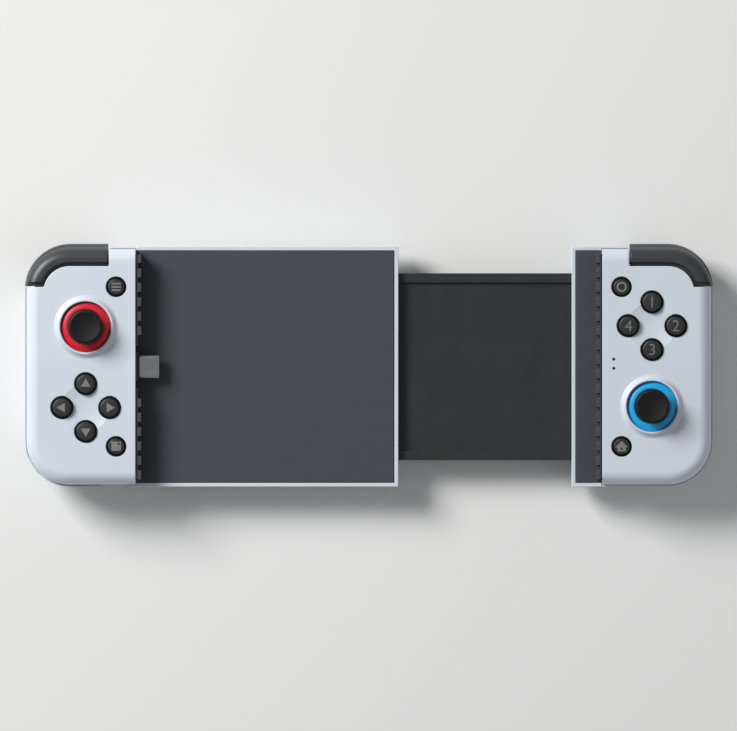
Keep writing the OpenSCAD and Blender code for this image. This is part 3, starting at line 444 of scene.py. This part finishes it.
def tension_spring(y):
    """A coil that narrows to a straight wire at both ends, with a hook round a post at each."""
    steps = COIL_TURNS * COIL_STEPS
    start = SPRING_X[0] + SPRING_LEAD
    length = SPRING_X[1] - SPRING_LEAD - start
    coil = []
    for i in range(steps + 1):
        r = COIL_R * min(1, i / COIL_STEPS * 2, (steps - i) / COIL_STEPS * 2)
        a = math.tau * i / COIL_STEPS
        coil.append((start + length * i / steps, y + r * math.cos(a), SPRING_Z + r * math.sin(a)))
    hooks = [[(x + HOOK_R * math.cos(a), y + HOOK_R * math.sin(a), SPRING_Z)
              for a in map(math.radians, turn)] for x, turn in zip(SPRING_X, HOOK_TURNS)]
    return wire("spring", hooks[0] + coil + hooks[1], SPRING_WIRE_R)


springs = put("tension_spring_pair", joined(tension_spring(y) for y in SPRING_Y), [spring_steel],
              None, nodes=["tension_springs"])
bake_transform(springs)

FLEX_X = (-87.2, -17.6)
FLEX_Y = -0.525
FLEX_W = 12
FLEX_T = 0.3
FLEX_TOP = 14.1
FLEX_WAVE = 1.4
FLEX_FOLDS = 6
FLEX_STEPS = 24
FOIL_LANES = 330


def mixed(tree, share, one, other):
    """Mixes two colours by a share."""
    mix = tree.nodes.new("ShaderNodeMix")
    mix.data_type = "RGBA"
    tree.links.new(share, mix.inputs["Factor"])
    tree.links.new(one, mix.inputs["A"])
    tree.links.new(other, mix.inputs["B"])
    return mix.outputs["Result"]


def film_skin():
    """Group for copper film: lines of foil along X under an amber coat."""
    tree, given, made = new_skin("Film skin", {
        "Colour": (0.4, 0.2, 0.05, 1), "Foil": (0.6, 0.3, 0.1, 1)})
    coords = tree.nodes.new("ShaderNodeTexCoord").outputs["Object"]
    lanes = tree.nodes.new("ShaderNodeTexWave")
    lanes.bands_direction = "Y"
    lanes.inputs["Scale"].default_value = FOIL_LANES
    tree.links.new(coords, lanes.inputs["Vector"])
    foil = spread(tree, lanes.outputs["Fac"], 0.0, 1.0, 0.45, 0.55)
    tree.links.new(mixed(tree, foil, given["Colour"], given["Foil"]), made["Colour"])
    tree.links.new(spread(tree, noise(tree, coords, 300.0), 0.3, 0.45), made["Roughness"])
    tree.links.new(foil, made["Height"])
    return tree


flex_film = surfaced("flex_film", film_skin(), {
    "Colour": linear((150, 84, 24)), "Foil": linear((196, 128, 58))}, bump=0.3, depth=0.03)[0]

flex = bmesh.new()
bmesh.ops.create_grid(flex, x_segments=FLEX_FOLDS * FLEX_STEPS, y_segments=4, size=0.5)
for vert in flex.verts:
    along = vert.co.x + 0.5
    wave = FLEX_WAVE * math.sin(math.tau * FLEX_FOLDS * along)
    vert.co = (MM * (FLEX_X[0] + (FLEX_X[1] - FLEX_X[0]) * along),
               MM * (vert.co.y * FLEX_W + FLEX_Y), MM * (SPRING_Z + FLEX_T / 2 + wave))
tail = [edge for edge in flex.edges
        if all(vert.co.x < (FLEX_X[0] + 0.01) * MM for vert in edge.verts)]
raised = bmesh.ops.extrude_edge_only(flex, edges=tail)["geom"]
for vert in (item for item in raised if isinstance(item, bmesh.types.BMVert)):
    vert.co.z = FLEX_TOP * MM
flex.normal_update()
bmesh.ops.solidify(flex, geom=flex.faces, thickness=FLEX_T * MM)
bmesh.ops.recalc_face_normals(flex, faces=flex.faces)
if flex.calc_volume(signed=True) < 0:
    bmesh.ops.reverse_faces(flex, faces=flex.faces)
ribbon = put("flex_ribbon", flex, [flex_film], None, turn=60, nodes=["flex_cable"])
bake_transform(ribbon)


# Boards: green glass laminate in each grip, clamped by the screws, with a moulded mat of grey
# rubber domes under the keys. The sticks' plated modules are soldered into them.

TRACK_SCALE = 140
TRACK_GAP = 0.035


def laminate_skin():
    """Group for a printed board: tracks that show through a green mask."""
    tree, given, made = new_skin("Laminate skin", {
        "Colour": (0, 0.1, 0.03, 1), "Tracks": (0, 0.2, 0.06, 1)})
    coords = tree.nodes.new("ShaderNodeTexCoord").outputs["Object"]
    runs = tree.nodes.new("ShaderNodeTexBrick")
    runs.inputs["Scale"].default_value = TRACK_SCALE
    runs.inputs["Mortar Size"].default_value = TRACK_GAP
    runs.inputs["Color1"].default_value = (0, 0, 0, 1)
    runs.inputs["Color2"].default_value = (0, 0, 0, 1)
    runs.inputs["Mortar"].default_value = (1, 1, 1, 1)
    tree.links.new(coords, runs.inputs["Vector"])
    tracks = runs.outputs["Color"]
    tree.links.new(mixed(tree, tracks, given["Colour"], given["Tracks"]), made["Colour"])
    tree.links.new(spread(tree, noise(tree, coords, 400.0), 0.25, 0.4), made["Roughness"])
    tree.links.new(tracks, made["Height"])
    return tree


def finish_node(node, material):
    """Gives a CAD node whose shape is right its finish."""
    slots = frame["nodes"][node].data.materials
    slots.clear()
    slots.append(material)


board_laminate = surfaced("board_laminate", laminate_skin(), {
    "Colour": linear((12, 66, 38)), "Tracks": linear((28, 104, 60))}, bump=0.3, depth=0.03)[0]
mat_rubber = rubber("mat_rubber", (138, 141, 146), 0.6, 0.8)
plated_steel = metal("plated_steel", (206, 206, 208), 0.16, 0.3)
for side in ("left", "right"):
    finish_node(side + "_board", board_laminate)
    finish_node(side + "_button_mat", mat_rubber)
    eased(side + "_stick_module", plated_steel, width=0.12)


# Plug and charge port: a drawn and plated shell on a black moulded drum, which tips on a pin in
# its cradle, and a plated receptacle with a black tongue in the left grip's lower edge.

plug_plastic = plastic("plug_plastic", (26, 27, 29), 0.35, 0.5)
eased("plug_cradle", plug_plastic, width=0.15)
eased("plug_drum", plug_plastic, width=0.1)
eased("plug_shell", plated_steel, width=0.08)

PORT_X = -89.6
PORT_Z = 12.6
TONGUE = (6.7, 0.7)
TONGUE_SLACK = 0.01
port = cad_shape("charge_port")
for face in port.faces:
    spot = face.calc_center_median() / MM
    across = abs(spot.x - PORT_X) < TONGUE[0] / 2 + TONGUE_SLACK
    level = abs(spot.z - PORT_Z) < TONGUE[1] / 2 + TONGUE_SLACK
    face.material_index = int(across and level)
put("charge_port_eased", port, [plated_steel, plug_plastic], "left_half",
    width=0.08, nodes=["charge_port"])


# Triggers: dark grey moulded skins that wrap the shoulder below the bumpers, each on a steel pin
# between two ears. A torsion spring round the hub pushes the trigger out. Their colour is set to a
# mid grey, as painted light on the rim that shows past the bumper.

TRIGGER_AXIS = (31.875, 11.4)
TRIGGER_COIL_X = -101.7
TRIGGER_COIL_R = 2.0
TRIGGER_COIL_LEN = 3
TRIGGER_COIL_LEG = 5.4
TRIGGER_COIL_TURNS = 3.5
TRIGGER_COIL_STEPS = 84
TRIGGER_WIRE_R = 0.25

# This mid grey is painted light on the trigger's rim, over what is a dark grey plastic.
trigger_plastic = plastic("trigger_plastic", (104, 106, 110), 0.3, 0.42)


def torsion_spring(sign):
    """Three and a half turns round the hub, with a leg to the cover and a leg to the trigger."""
    y, z = TRIGGER_AXIS
    r, steps = TRIGGER_COIL_R, TRIGGER_COIL_STEPS
    points = [(0, y - r, z - TRIGGER_COIL_LEG)]
    for i in range(steps + 1):
        a = math.pi - math.tau * TRIGGER_COIL_TURNS * i / steps
        points.append((TRIGGER_COIL_LEN * i / steps, y + r * math.cos(a), z + r * math.sin(a)))
    points.append((TRIGGER_COIL_LEN, y + r, z - TRIGGER_COIL_LEG))
    return wire("coil", [(sign * -(TRIGGER_COIL_X + x), y, z) for x, y, z in points],
                TRIGGER_WIRE_R)


for side, sign in (("left", -1), ("right", 1)):
    eased(side + "_trigger", trigger_plastic, width=0.2)
    finish_node(side + "_trigger_pin", spring_steel)
    put(side + "_trigger_coil", torsion_spring(sign), [spring_steel], side + "_half",
        nodes=[side + "_trigger_spring"])


# Bumpers: hollow dark bars round the shoulders that rock on a post under the front cover.
# They are moulded in satin black ABS, with a lower ledge along the white cover.

bumper_plastic = plastic("bumper_plastic", (58, 59, 62), 0.34, 0.46)
for side in ("left", "right"):
    eased(side + "_bumper", bumper_plastic, width=0.3, segments=3)


# Keys: round crowned buttons with a dark grey top, whose rounded rim is coloured near black
# as painted shade where the edge turns away from the light.
# A flange holds each under the white face. Their marks are printed in grey ink: arrows,
# plain numbers and simple signs.

KEY_R = 3.85
KEY_TOP = 25.5
SMALL_R = 3.4
SMALL_TOP = 25.1
CROWN_R = 24
CROWN_STEPS = 6
RIM_W = 0.6
RIM_START = 8         # degrees
RIM_STEPS = 6
KEY_GROOVE = 0.05
KEY_FLANGE = (22.6, 21.2, 0.75)
KEY_STEM = (20.8, 0.6)
KEY_STEPS = 72
INK_T = 0.08
INK_PROUD = 0.03
FIGURE_SIZE = 1.4     # type size over a numeral's height
FIGURE_OFFSET = -0.06

key_plastic = plastic("key_plastic", (39, 40, 42), 0.42, 0.56, grain=2000.0)
shaded_key_rim = plastic("shaded_key_rim", (5, 5, 6), 0.5, 0.65, bump=0.2, shine=0.12)
key_ink = plastic("key_ink", (122, 122, 120), 0.5, 0.65)


def middle(node):
    """The middle of a node's box, in millimetres."""
    low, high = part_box(node)
    return (low + high) / 2 / MM


def crown(r):
    """How far a key's crown has fallen at a distance from its middle."""
    return CROWN_R - math.sqrt(CROWN_R ** 2 - r ** 2)


def spun(profile, steps, spot):
    """Spins a section, given as distances from the axis and heights, round the axis at a spot."""
    work = bmesh.new()
    verts = [work.verts.new((r * MM, 0, z * MM)) for r, z in profile]
    edges = [work.edges.new(pair) for pair in zip(verts, verts[1:])]
    bmesh.ops.spin(work, geom=verts + edges, cent=(0, 0, 0), axis=(0, 0, 1), angle=math.tau,
                   steps=steps, use_merge=True)
    bmesh.ops.remove_doubles(work, verts=work.verts, dist=FINE_WELD * MM)
    bmesh.ops.recalc_face_normals(work, faces=work.faces)
    bmesh.ops.translate(work, verts=work.verts, vec=(spot.x * MM, spot.y * MM, 0))
    return work


def key(node, radius, top):
    """A crowned top in a fine groove, a rounded rim coloured black as painted shade, and the flange
    and stem below.
    """
    spot = middle(node)
    edge = radius - RIM_W
    brow = top - crown(edge)
    under, foot, reach = KEY_FLANGE
    stem, step = KEY_STEM
    rings = [edge * i / CROWN_STEPS for i in range(CROWN_STEPS)]
    turns = [math.radians(RIM_START + (90 - RIM_START) * i / RIM_STEPS)
             for i in range(RIM_STEPS + 1)]
    profile = [(r, top - crown(r)) for r in rings]
    profile += [(edge - KEY_GROOVE, brow), (edge, brow - KEY_GROOVE)]
    profile += [(edge + RIM_W * math.sin(a), brow - RIM_W + RIM_W * math.cos(a)) for a in turns]
    profile += [(radius, under), (radius + reach, under), (radius + reach, foot),
                (radius - step, foot), (radius - step, stem), (0, stem)]
    work = spun(profile, KEY_STEPS, spot)
    # Faces outside the groove take the near-black rim colour: painted shade on the rounded edge.
    for face in work.faces:
        out = (face.calc_center_median().xy - spot.xy * MM).length
        face.material_index = int(out > (edge - KEY_GROOVE) * MM)
    return put(node + "_key", work, [key_plastic, shaded_key_rim], node, turn=50,
               nodes=[node])


def printed(node, top, mark):
    """Prints a flat mark, in millimetres from a key's middle, on the key's crown."""
    spot = middle(node)
    bmesh.ops.subdivide_edges(mark, edges=mark.edges, cuts=2)
    bmesh.ops.triangulate(mark, faces=mark.faces)
    bmesh.ops.solidify(mark, geom=mark.faces, thickness=INK_T)
    upper = max(vert.co.z for vert in mark.verts)
    for vert in mark.verts:
        height = top - crown(vert.co.xy.length) + vert.co.z - upper + INK_PROUD
        vert.co = MM * Vector((spot.x + vert.co.x, spot.y + vert.co.y, height))
    bmesh.ops.recalc_face_normals(mark, faces=mark.faces)
    return put(node + "_mark", mark, [key_ink], node, turn=30)


def polygon(sides, radius, turn):
    """A flat regular outline, filled."""
    work = bmesh.new()
    bmesh.ops.create_circle(work, cap_ends=True, segments=sides, radius=radius)
    bmesh.ops.rotate(work, verts=work.verts, matrix=Matrix.Rotation(math.radians(turn), 3, "Z"))
    return work


def bar(width, height, y):
    """A flat oblong."""
    work = bmesh.new()
    bmesh.ops.create_grid(work, x_segments=1, y_segments=1, size=0.5)
    bmesh.ops.scale(work, verts=work.verts, vec=(width, height, 1))
    bmesh.ops.translate(work, verts=work.verts, vec=(0, y, 0))
    return work


def pierced(points, sides, radius, spot=(0, 0)):
    """A flat shape inside the outline of its corners, with a round hole at a spot."""
    work = bmesh.new()
    bmesh.ops.create_circle(work, segments=sides, radius=radius)
    bmesh.ops.translate(work, verts=work.verts, vec=(*spot, 0))
    corners = [work.verts.new((*point, 0)) for point in points]
    for pair in zip(corners, corners[1:] + corners[:1]):
        work.edges.new(pair)
    bmesh.ops.triangle_fill(work, use_beauty=True, edges=work.edges)
    return work


def figure(text, height):
    """A numeral's outline, centred."""
    curve = bpy.data.curves.new(text, "FONT")
    curve.body = text
    curve.size = height * FIGURE_SIZE
    curve.offset = FIGURE_OFFSET
    work = meshed(curve)
    bmesh.ops.remove_doubles(work, verts=work.verts, dist=FINE_WELD)
    bmesh.ops.dissolve_degenerate(work, dist=FINE_WELD, edges=work.edges)
    sides = [[vert.co[i] for vert in work.verts] for i in (0, 1)]
    x, y = ((min(side) + max(side)) / 2 for side in sides)
    bmesh.ops.translate(work, verts=work.verts, vec=(-x, -y, 0))
    return work


ARROW_R = 1.95
NUMBER_H = 4.1
BAR_SIZE = (3.2, 0.6)
BAR_Y = (1.15, 0, -1.15)
RING_R = (1.8, 1.2)
RING_STEPS = 36
DOT = (20, 0.42)
CARD = [(-1.7, -1.5), (1.7, -1.5), (1.7, 1.7), (-1.7, 1.7)]
CARD_DOT = (0.9, 0.9)
HOUSE = [(0, 1.95), (2.3, -0.3), (1.5, -0.3), (1.5, -1.75), (-1.5, -1.75), (-1.5, -0.3),
         (-2.3, -0.3)]
HOUSE_DOOR = (0, -0.75)
ring_turns = [math.tau * i / RING_STEPS for i in range(RING_STEPS)]
ring_outline = [(RING_R[0] * math.cos(a), RING_R[0] * math.sin(a)) for a in ring_turns]

for name, turn in (("up", 0), ("left", 90), ("down", 180), ("right", 270)):
    key("dpad_" + name, KEY_R, KEY_TOP)
    printed("dpad_" + name, KEY_TOP, polygon(3, ARROW_R, turn))
for name, number in (("up", "1"), ("right", "2"), ("down", "3"), ("left", "4")):
    key("action_" + name, KEY_R, KEY_TOP)
    printed("action_" + name, KEY_TOP, figure(number, NUMBER_H))
for node in ("menu_button", "capture_button", "option_button", "home_button"):
    key(node, SMALL_R, SMALL_TOP)
printed("menu_button", SMALL_TOP, joined(bar(*BAR_SIZE, y) for y in BAR_Y))
printed("option_button", SMALL_TOP, pierced(ring_outline, RING_STEPS, RING_R[1]))
printed("capture_button", SMALL_TOP, pierced(CARD, *DOT, CARD_DOT))
printed("home_button", SMALL_TOP, pierced(HOUSE, *DOT, HOUSE_DOOR))


# Light pipes: two smoked acrylic rods beside the action keys, flush with the white face.
# They are pushed in from behind, and a flange stops each under the face.

lens_plastic = plastic("lens_plastic", (30, 32, 48), 0.08, 0.15)
finish_node("indicator_lenses", lens_plastic)


# Sticks: a moulded rubber thumb cap on a shaft with a dust dome, in a two-axis gimbal that clicks
# down in its module. A coloured ring, red on the left and blue on the right, is pressed into the
# white collar round each.

stick_plastic = plastic("stick_plastic", (34, 35, 37), 0.35, 0.5)
carrier_plastic = plastic("carrier_plastic", (52, 52, 53), 0.4, 0.55)
yoke_plastic = plastic("yoke_plastic", (216, 212, 200), 0.35, 0.5)
stick_rubber = rubber("stick_rubber", (15, 15, 16), 0.5, 0.68, dots=2600.0, bump=0.35, shine=0.3)
red_ring = plastic("red_ring", (212, 28, 50), 0.34, 0.44, grain=3000.0, bump=0.12)
blue_ring = plastic("blue_ring", (32, 172, 232), 0.34, 0.44, grain=3000.0, bump=0.12)

CAP_R = 6.1
CAP_TOP = 32.0
CAP_SIDE = [(0, 30.4), (1.95, 30.4), (1.95, 28.5), (2.9, 28.5), (5.6, 29.26), (CAP_R, 29.5),
            (CAP_R, 30.2), (CAP_R, 31.1), (6.02, 31.5), (5.8, 31.8), (5.45, 31.98), (5.1, 31.98),
            (4.85, 31.93)]
HOLLOW_R = 5.1
HOLLOW_DEPTH = 0.7
HOLLOW_RINGS = (4.4, 3.6, 2.6, 1.4, 0)
CAP_STEPS = 144
KNURL_Z = (30, 31.2)
KNURL_DEPTH = 0.16
KNURL_EVERY = 3


def thumb_cap(spot):
    """Spins the cap's section, with a fine knurl round its side and a dished top."""
    profile = CAP_SIDE + [(r, CAP_TOP - HOLLOW_DEPTH + HOLLOW_DEPTH * (r / HOLLOW_R) ** 2)
                          for r in HOLLOW_RINGS]
    work = spun(profile, CAP_STEPS, spot)
    for vert in work.verts:
        out = vert.co.xy - spot.xy * MM
        turn = round(math.atan2(out.y, out.x) / math.tau * CAP_STEPS)
        side = KNURL_Z[0] * MM < vert.co.z < KNURL_Z[1] * MM and out.length > (CAP_R - 0.05) * MM
        if side and turn % KNURL_EVERY == 0:
            vert.co.xy -= out * KNURL_DEPTH / CAP_R
    return work


for side, ring, slot in (("left", red_ring, "red_ring"), ("right", blue_ring, "blue_ring")):
    finish_node(side + "_stick_carrier", carrier_plastic)
    finish_node(side + "_stick_yoke", yoke_plastic)
    finish_node(side + "_stick_shaft", stick_plastic)
    eased(side + "_stick_ring", ring, width=0.12)
    put(side + "_thumb_cap", thumb_cap(middle(side + "_stick_cap")), [stick_rubber],
        side + "_stick", turn=50, nodes=[side + "_stick_cap"])


# Wall panels: plates with ribs that close the inner sides of the grips, moulded in one soft-touch
# plastic and caught between the two covers. The plates are coloured darker as painted shade between
# the ribs, and the ribs lighter as painted light on their tops.

PLATE_X = 81.3
PANEL_EDGE = 0.15
panel_plastic = plastic("panel_plastic", (40, 41, 44), 0.45, 0.6)
lit_rib_plastic = plastic("lit_rib_plastic", (66, 67, 71), 0.45, 0.6)
for side, sign in (("left", -1), ("right", 1)):
    panel = cad_shape(side + "_wall_panel")
    bmesh.ops.bisect_plane(panel, geom=panel.verts[:] + panel.edges[:] + panel.faces[:],
                           dist=FINE_WELD * MM, plane_co=(sign * PLATE_X * MM, 0, 0),
                           plane_no=(1, 0, 0))
    # Faces proud of the plate take the lighter rib colour as painted light; the darker plate colour
    # is painted shade.
    for face in panel.faces:
        face.material_index = int(abs(face.calc_center_median().x) < (PLATE_X - 0.01) * MM)
    put(side + "_wall_panel_eased", panel, [panel_plastic, lit_rib_plastic], side + "_half",
        PANEL_EDGE, nodes=[side + "_wall_panel"])


# Front covers: the white faces of the grips, with a flared collar round the stick and a shallow
# dish among the keys. They are moulded in the same ABS as the rear covers, and the bosses for
# the screws are on their inside.

FACE_Z = 24.5
FACE_EDGE = 0.22
DISH_R = 8.4
DISH_DEPTH = 1.0
DISH_LOW = FACE_Z - DISH_DEPTH
DISH_BALL = (DISH_R ** 2 + DISH_DEPTH ** 2) / (2 * DISH_DEPTH)
DISH_SPOTS = {"left": Vector((-99.7, -14.925)), "right": Vector((99.7, 13.875))}
DISH_SLACK = (0.05, 0.002)
DISH_UP = 0.9         # least upward share of the normal of a face in the dish
DISH_RIM_TURN = 60    # edges of the dish that turn more than this are at key holes, in degrees
DISH_MARGIN = 0.3
DISH_MERGE = 0.8      # corners of the margin closer than this share of it are one
DISH_STEPS = 8
DISH_WELD = 0.0001


def dish_faces(work, spot):
    """The faces of the dish among the keys."""
    lowest, highest = DISH_LOW - DISH_SLACK[0], FACE_Z - DISH_SLACK[1]
    return {face for face in work.faces if face.normal.z > DISH_UP
            and (face.calc_center_median().xy / MM - spot).length < DISH_R
            and lowest < face.calc_center_median().z / MM < highest}


def evenly_filled(work, face, spot):
    """Fills a face anew with even triangles round a spot, and returns their vertices."""
    verts = list(face.verts)
    work.faces.remove(face)
    places = [vert.co.xy / MM for vert in verts]
    lines = [(i - 1, i) for i in range(1, len(places))] + [(len(places) - 1, 0)]
    near = point_tree([(*place, 0) for place in places])
    pitch = DISH_R / DISH_STEPS
    steps = range(-DISH_STEPS, DISH_STEPS + 1)
    grid = [spot + pitch * Vector((i + j % 2 / 2, j * math.sqrt(0.75)))
            for i in steps for j in steps]
    places += [place for place in grid if near.find((*place, 0))[2] > pitch / 2]
    _, _, corners, origins, _, _ = geometry.delaunay_2d_cdt(places, lines, [], 1, DISH_WELD)
    verts += [work.verts.new((*(place * MM), 0)) for place in places[len(verts):]]
    for three in corners:
        work.faces.new([verts[origins[i][0]] for i in three])
    used = [vert for vert in verts if vert.link_faces]
    unused = [vert for vert in verts if not vert.link_faces]
    bmesh.ops.delete(work, geom=unused, context="VERTS")
    return used


def dished(work, spot):
    """Lays the dish anew on its sphere, inside an even margin, and returns its rim's edges."""
    hollow = dish_faces(work, spot)
    outline = [edge for edge in work.edges if len(hollow.intersection(edge.link_faces)) == 1]
    bmesh.ops.delete(work, geom=list(hollow), context="FACES")
    dish = bmesh.ops.edgeloop_fill(work, edges=outline)["faces"]
    dish[0].normal_update()
    if dish[0].normal.z < 0:
        bmesh.ops.reverse_faces(work, faces=dish)
    rim = {edge for edge in outline if edge.calc_face_angle(0) < math.radians(DISH_RIM_TURN)}
    bmesh.ops.inset_region(work, faces=dish, thickness=DISH_MARGIN * MM, use_even_offset=True)
    bmesh.ops.remove_doubles(work, verts=dish[0].verts, dist=DISH_MERGE * DISH_MARGIN * MM)
    inside = max(dish_faces(work, spot), key=lambda face: len(face.verts))
    inner = evenly_filled(work, inside, spot)
    at_rim = {vert for edge in rim for vert in edge.verts}
    at_keys = {vert for edge in outline for vert in edge.verts} - at_rim
    for vert in at_keys.union(inner):
        out = (vert.co.xy / MM - spot).length
        vert.co.z = MM * (DISH_LOW + DISH_BALL - math.sqrt(DISH_BALL ** 2 - out ** 2))
    return rim


for side in ("left", "right"):
    cover = cad_shape(side + "_front_cover")
    rim = dished(cover, DISH_SPOTS[side])
    put(side + "_front_cover_eased", cover, [white_shell], side + "_half",
        FACE_EDGE, crisp=rim, nodes=[side + "_front_cover"])


# Screws: blackened steel pan heads with a stamped cross recess, sunk in the rear covers' holes.
# Each runs up through a pillar and the board into a boss of the front cover.

SCREW_R = 1.0
SCREW_STEPS = 32
SCREW_END = 20.0
SCREW_WELD = 0.005
HEAD_R = 1.9
HEAD_EDGE = 0.5
HEAD_STEPS = 5
HEAD_Z = (7.6, 9.0)
RECESS = (1.05, 0.28, 0.8)
RECESS_TAPER = 0.8
RECESS_ROOM = 0.1     # what is left of the head's face round the recess, at least
SCREW_SPOTS = [(-115.3, -29.025), (-114.7, 3.475), (-96.999, -36.925), (-86.2, 19.975)]
screw_steel = metal("screw_steel", (84, 86, 90), 0.3, 0.45)


def cross_screw(spot):
    """A head with a rounded edge and a cross recess, on a plain shank."""
    low, seat = HEAD_Z
    face = HEAD_R - HEAD_EDGE
    turns = [math.radians(90 * i / HEAD_STEPS) for i in range(HEAD_STEPS + 1)]
    profile = [(0, SCREW_END), (SCREW_R, SCREW_END), (SCREW_R, seat), (HEAD_R, seat)]
    profile += [(face + HEAD_EDGE * math.cos(a), low + HEAD_EDGE - HEAD_EDGE * math.sin(a))
                for a in turns]
    shank = spun(profile, SCREW_STEPS, Vector((0, 0)))
    reach, half, depth = RECESS
    arm = [Vector((half, reach)), Vector((half, half)), Vector((reach, half))]
    outline = [tuple(Matrix.Rotation(-math.pi / 2 * i, 2) @ point)
               for i in range(4) for point in arm]
    recess = pierced(outline, SCREW_STEPS, face)
    walls = [edge for edge in recess.edges if len(edge.link_faces) == 1
             and max(vert.co.xy.length for vert in edge.verts) < face - RECESS_ROOM]
    sunk = bmesh.ops.extrude_edge_only(recess, edges=walls)["geom"]
    bottom = [item for item in sunk if isinstance(item, bmesh.types.BMVert)]
    bmesh.ops.scale(recess, verts=bottom, vec=(RECESS_TAPER, RECESS_TAPER, 1))
    bmesh.ops.translate(recess, verts=bottom, vec=(0, 0, depth))
    bmesh.ops.edgeloop_fill(recess, edges=[item for item in sunk
                                           if isinstance(item, bmesh.types.BMEdge)
                                           and set(item.verts) <= set(bottom)])
    bmesh.ops.translate(recess, verts=recess.verts, vec=(0, 0, low))
    bmesh.ops.scale(recess, verts=recess.verts, vec=(MM, MM, MM))
    screw = joined([shank, recess])
    bmesh.ops.remove_doubles(screw, verts=screw.verts, dist=SCREW_WELD * MM)
    bmesh.ops.recalc_face_normals(screw, faces=screw.faces)
    bmesh.ops.translate(screw, verts=screw.verts, vec=(spot[0] * MM, spot[1] * MM, 0))
    return screw


for side, sign in (("left", 1), ("right", -1)):
    put(side + "_cross_screws", joined(cross_screw((sign * x, y)) for x, y in SCREW_SPOTS),
        [screw_steel], side + "_half", turn=40, nodes=[side + "_screws"])


# Studio: a matt pale floor, a soft grey sky, a large lamp at the upper left and a weak one at the
# right. The camera looks straight down from far off, as the photograph does.

FLOOR_HALF = 12
FLOOR_COLOUR = (233, 233, 231)
FLOOR_ROUGH = 0.85
SKY_COLOUR = (0.95, 0.97, 1, 1)
SKY_LIGHT = 0.24
CAMERA_SPOT = (-0.00015, -0.0001, 4.0245)
CAMERA_RANGE = 4
SENSOR_W = 36
PHOTO_W = 737         # pixels
PHOTO_SCALE = 2840    # pixels per metre

floor_work = bmesh.new()
bmesh.ops.create_grid(floor_work, x_segments=1, y_segments=1, size=FLOOR_HALF)
floor_mesh = bpy.data.meshes.new("floor")
floor_work.to_mesh(floor_mesh)
floor_work.free()
floor = bpy.data.objects.new("floor", floor_mesh)
bpy.context.scene.collection.objects.link(floor)
pale_floor = bpy.data.materials.new("pale_floor")
pale_floor.use_nodes = True
floor_nodes, floor_links = pale_floor.node_tree.nodes, pale_floor.node_tree.links
matt = floor_nodes["Principled BSDF"]
matt.inputs["Base Color"].default_value = linear(FLOOR_COLOUR)
matt.inputs["Roughness"].default_value = FLOOR_ROUGH
seen_from = floor_nodes.new("ShaderNodeNewGeometry")
clear = floor_nodes.new("ShaderNodeBsdfTransparent")
one_way = floor_nodes.new("ShaderNodeMixShader")
floor_links.new(seen_from.outputs["Backfacing"], one_way.inputs[0])
floor_links.new(matt.outputs["BSDF"], one_way.inputs[1])
floor_links.new(clear.outputs["BSDF"], one_way.inputs[2])
floor_links.new(one_way.outputs["Shader"], floor_nodes["Material Output"].inputs["Surface"])
floor_mesh.materials.append(pale_floor)

world = bpy.data.worlds.new("studio")
world.use_nodes = True
sky = world.node_tree.nodes["Background"]
sky.inputs["Color"].default_value = SKY_COLOUR
sky.inputs["Strength"].default_value = SKY_LIGHT
bpy.context.scene.world = world


def lamp(name, spot, power, size):
    """A square soft lamp that faces the object."""
    data = bpy.data.lights.new(name, "AREA")
    data.energy = power
    data.size = size
    light = bpy.data.objects.new(name, data)
    light.location = spot
    light.rotation_euler = (-Vector(spot)).to_track_quat("-Z", "Y").to_euler()
    bpy.context.scene.collection.objects.link(light)


lamp("key_lamp", (-1.17, 0.855, 1.11), power=36.5, size=0.75)
lamp("fill_lamp", (0.9, -0.3, 0.9), power=1.2, size=0.8)

camera = bpy.data.objects.new("camera", bpy.data.cameras.new("camera"))
camera.location = CAMERA_SPOT
camera.data.lens = SENSOR_W * CAMERA_RANGE / (PHOTO_W / PHOTO_SCALE)
camera.data.clip_end = 50
bpy.context.scene.collection.objects.link(camera)
bpy.context.scene.camera = camera
bpy.context.scene.view_settings.view_transform = "Standard"
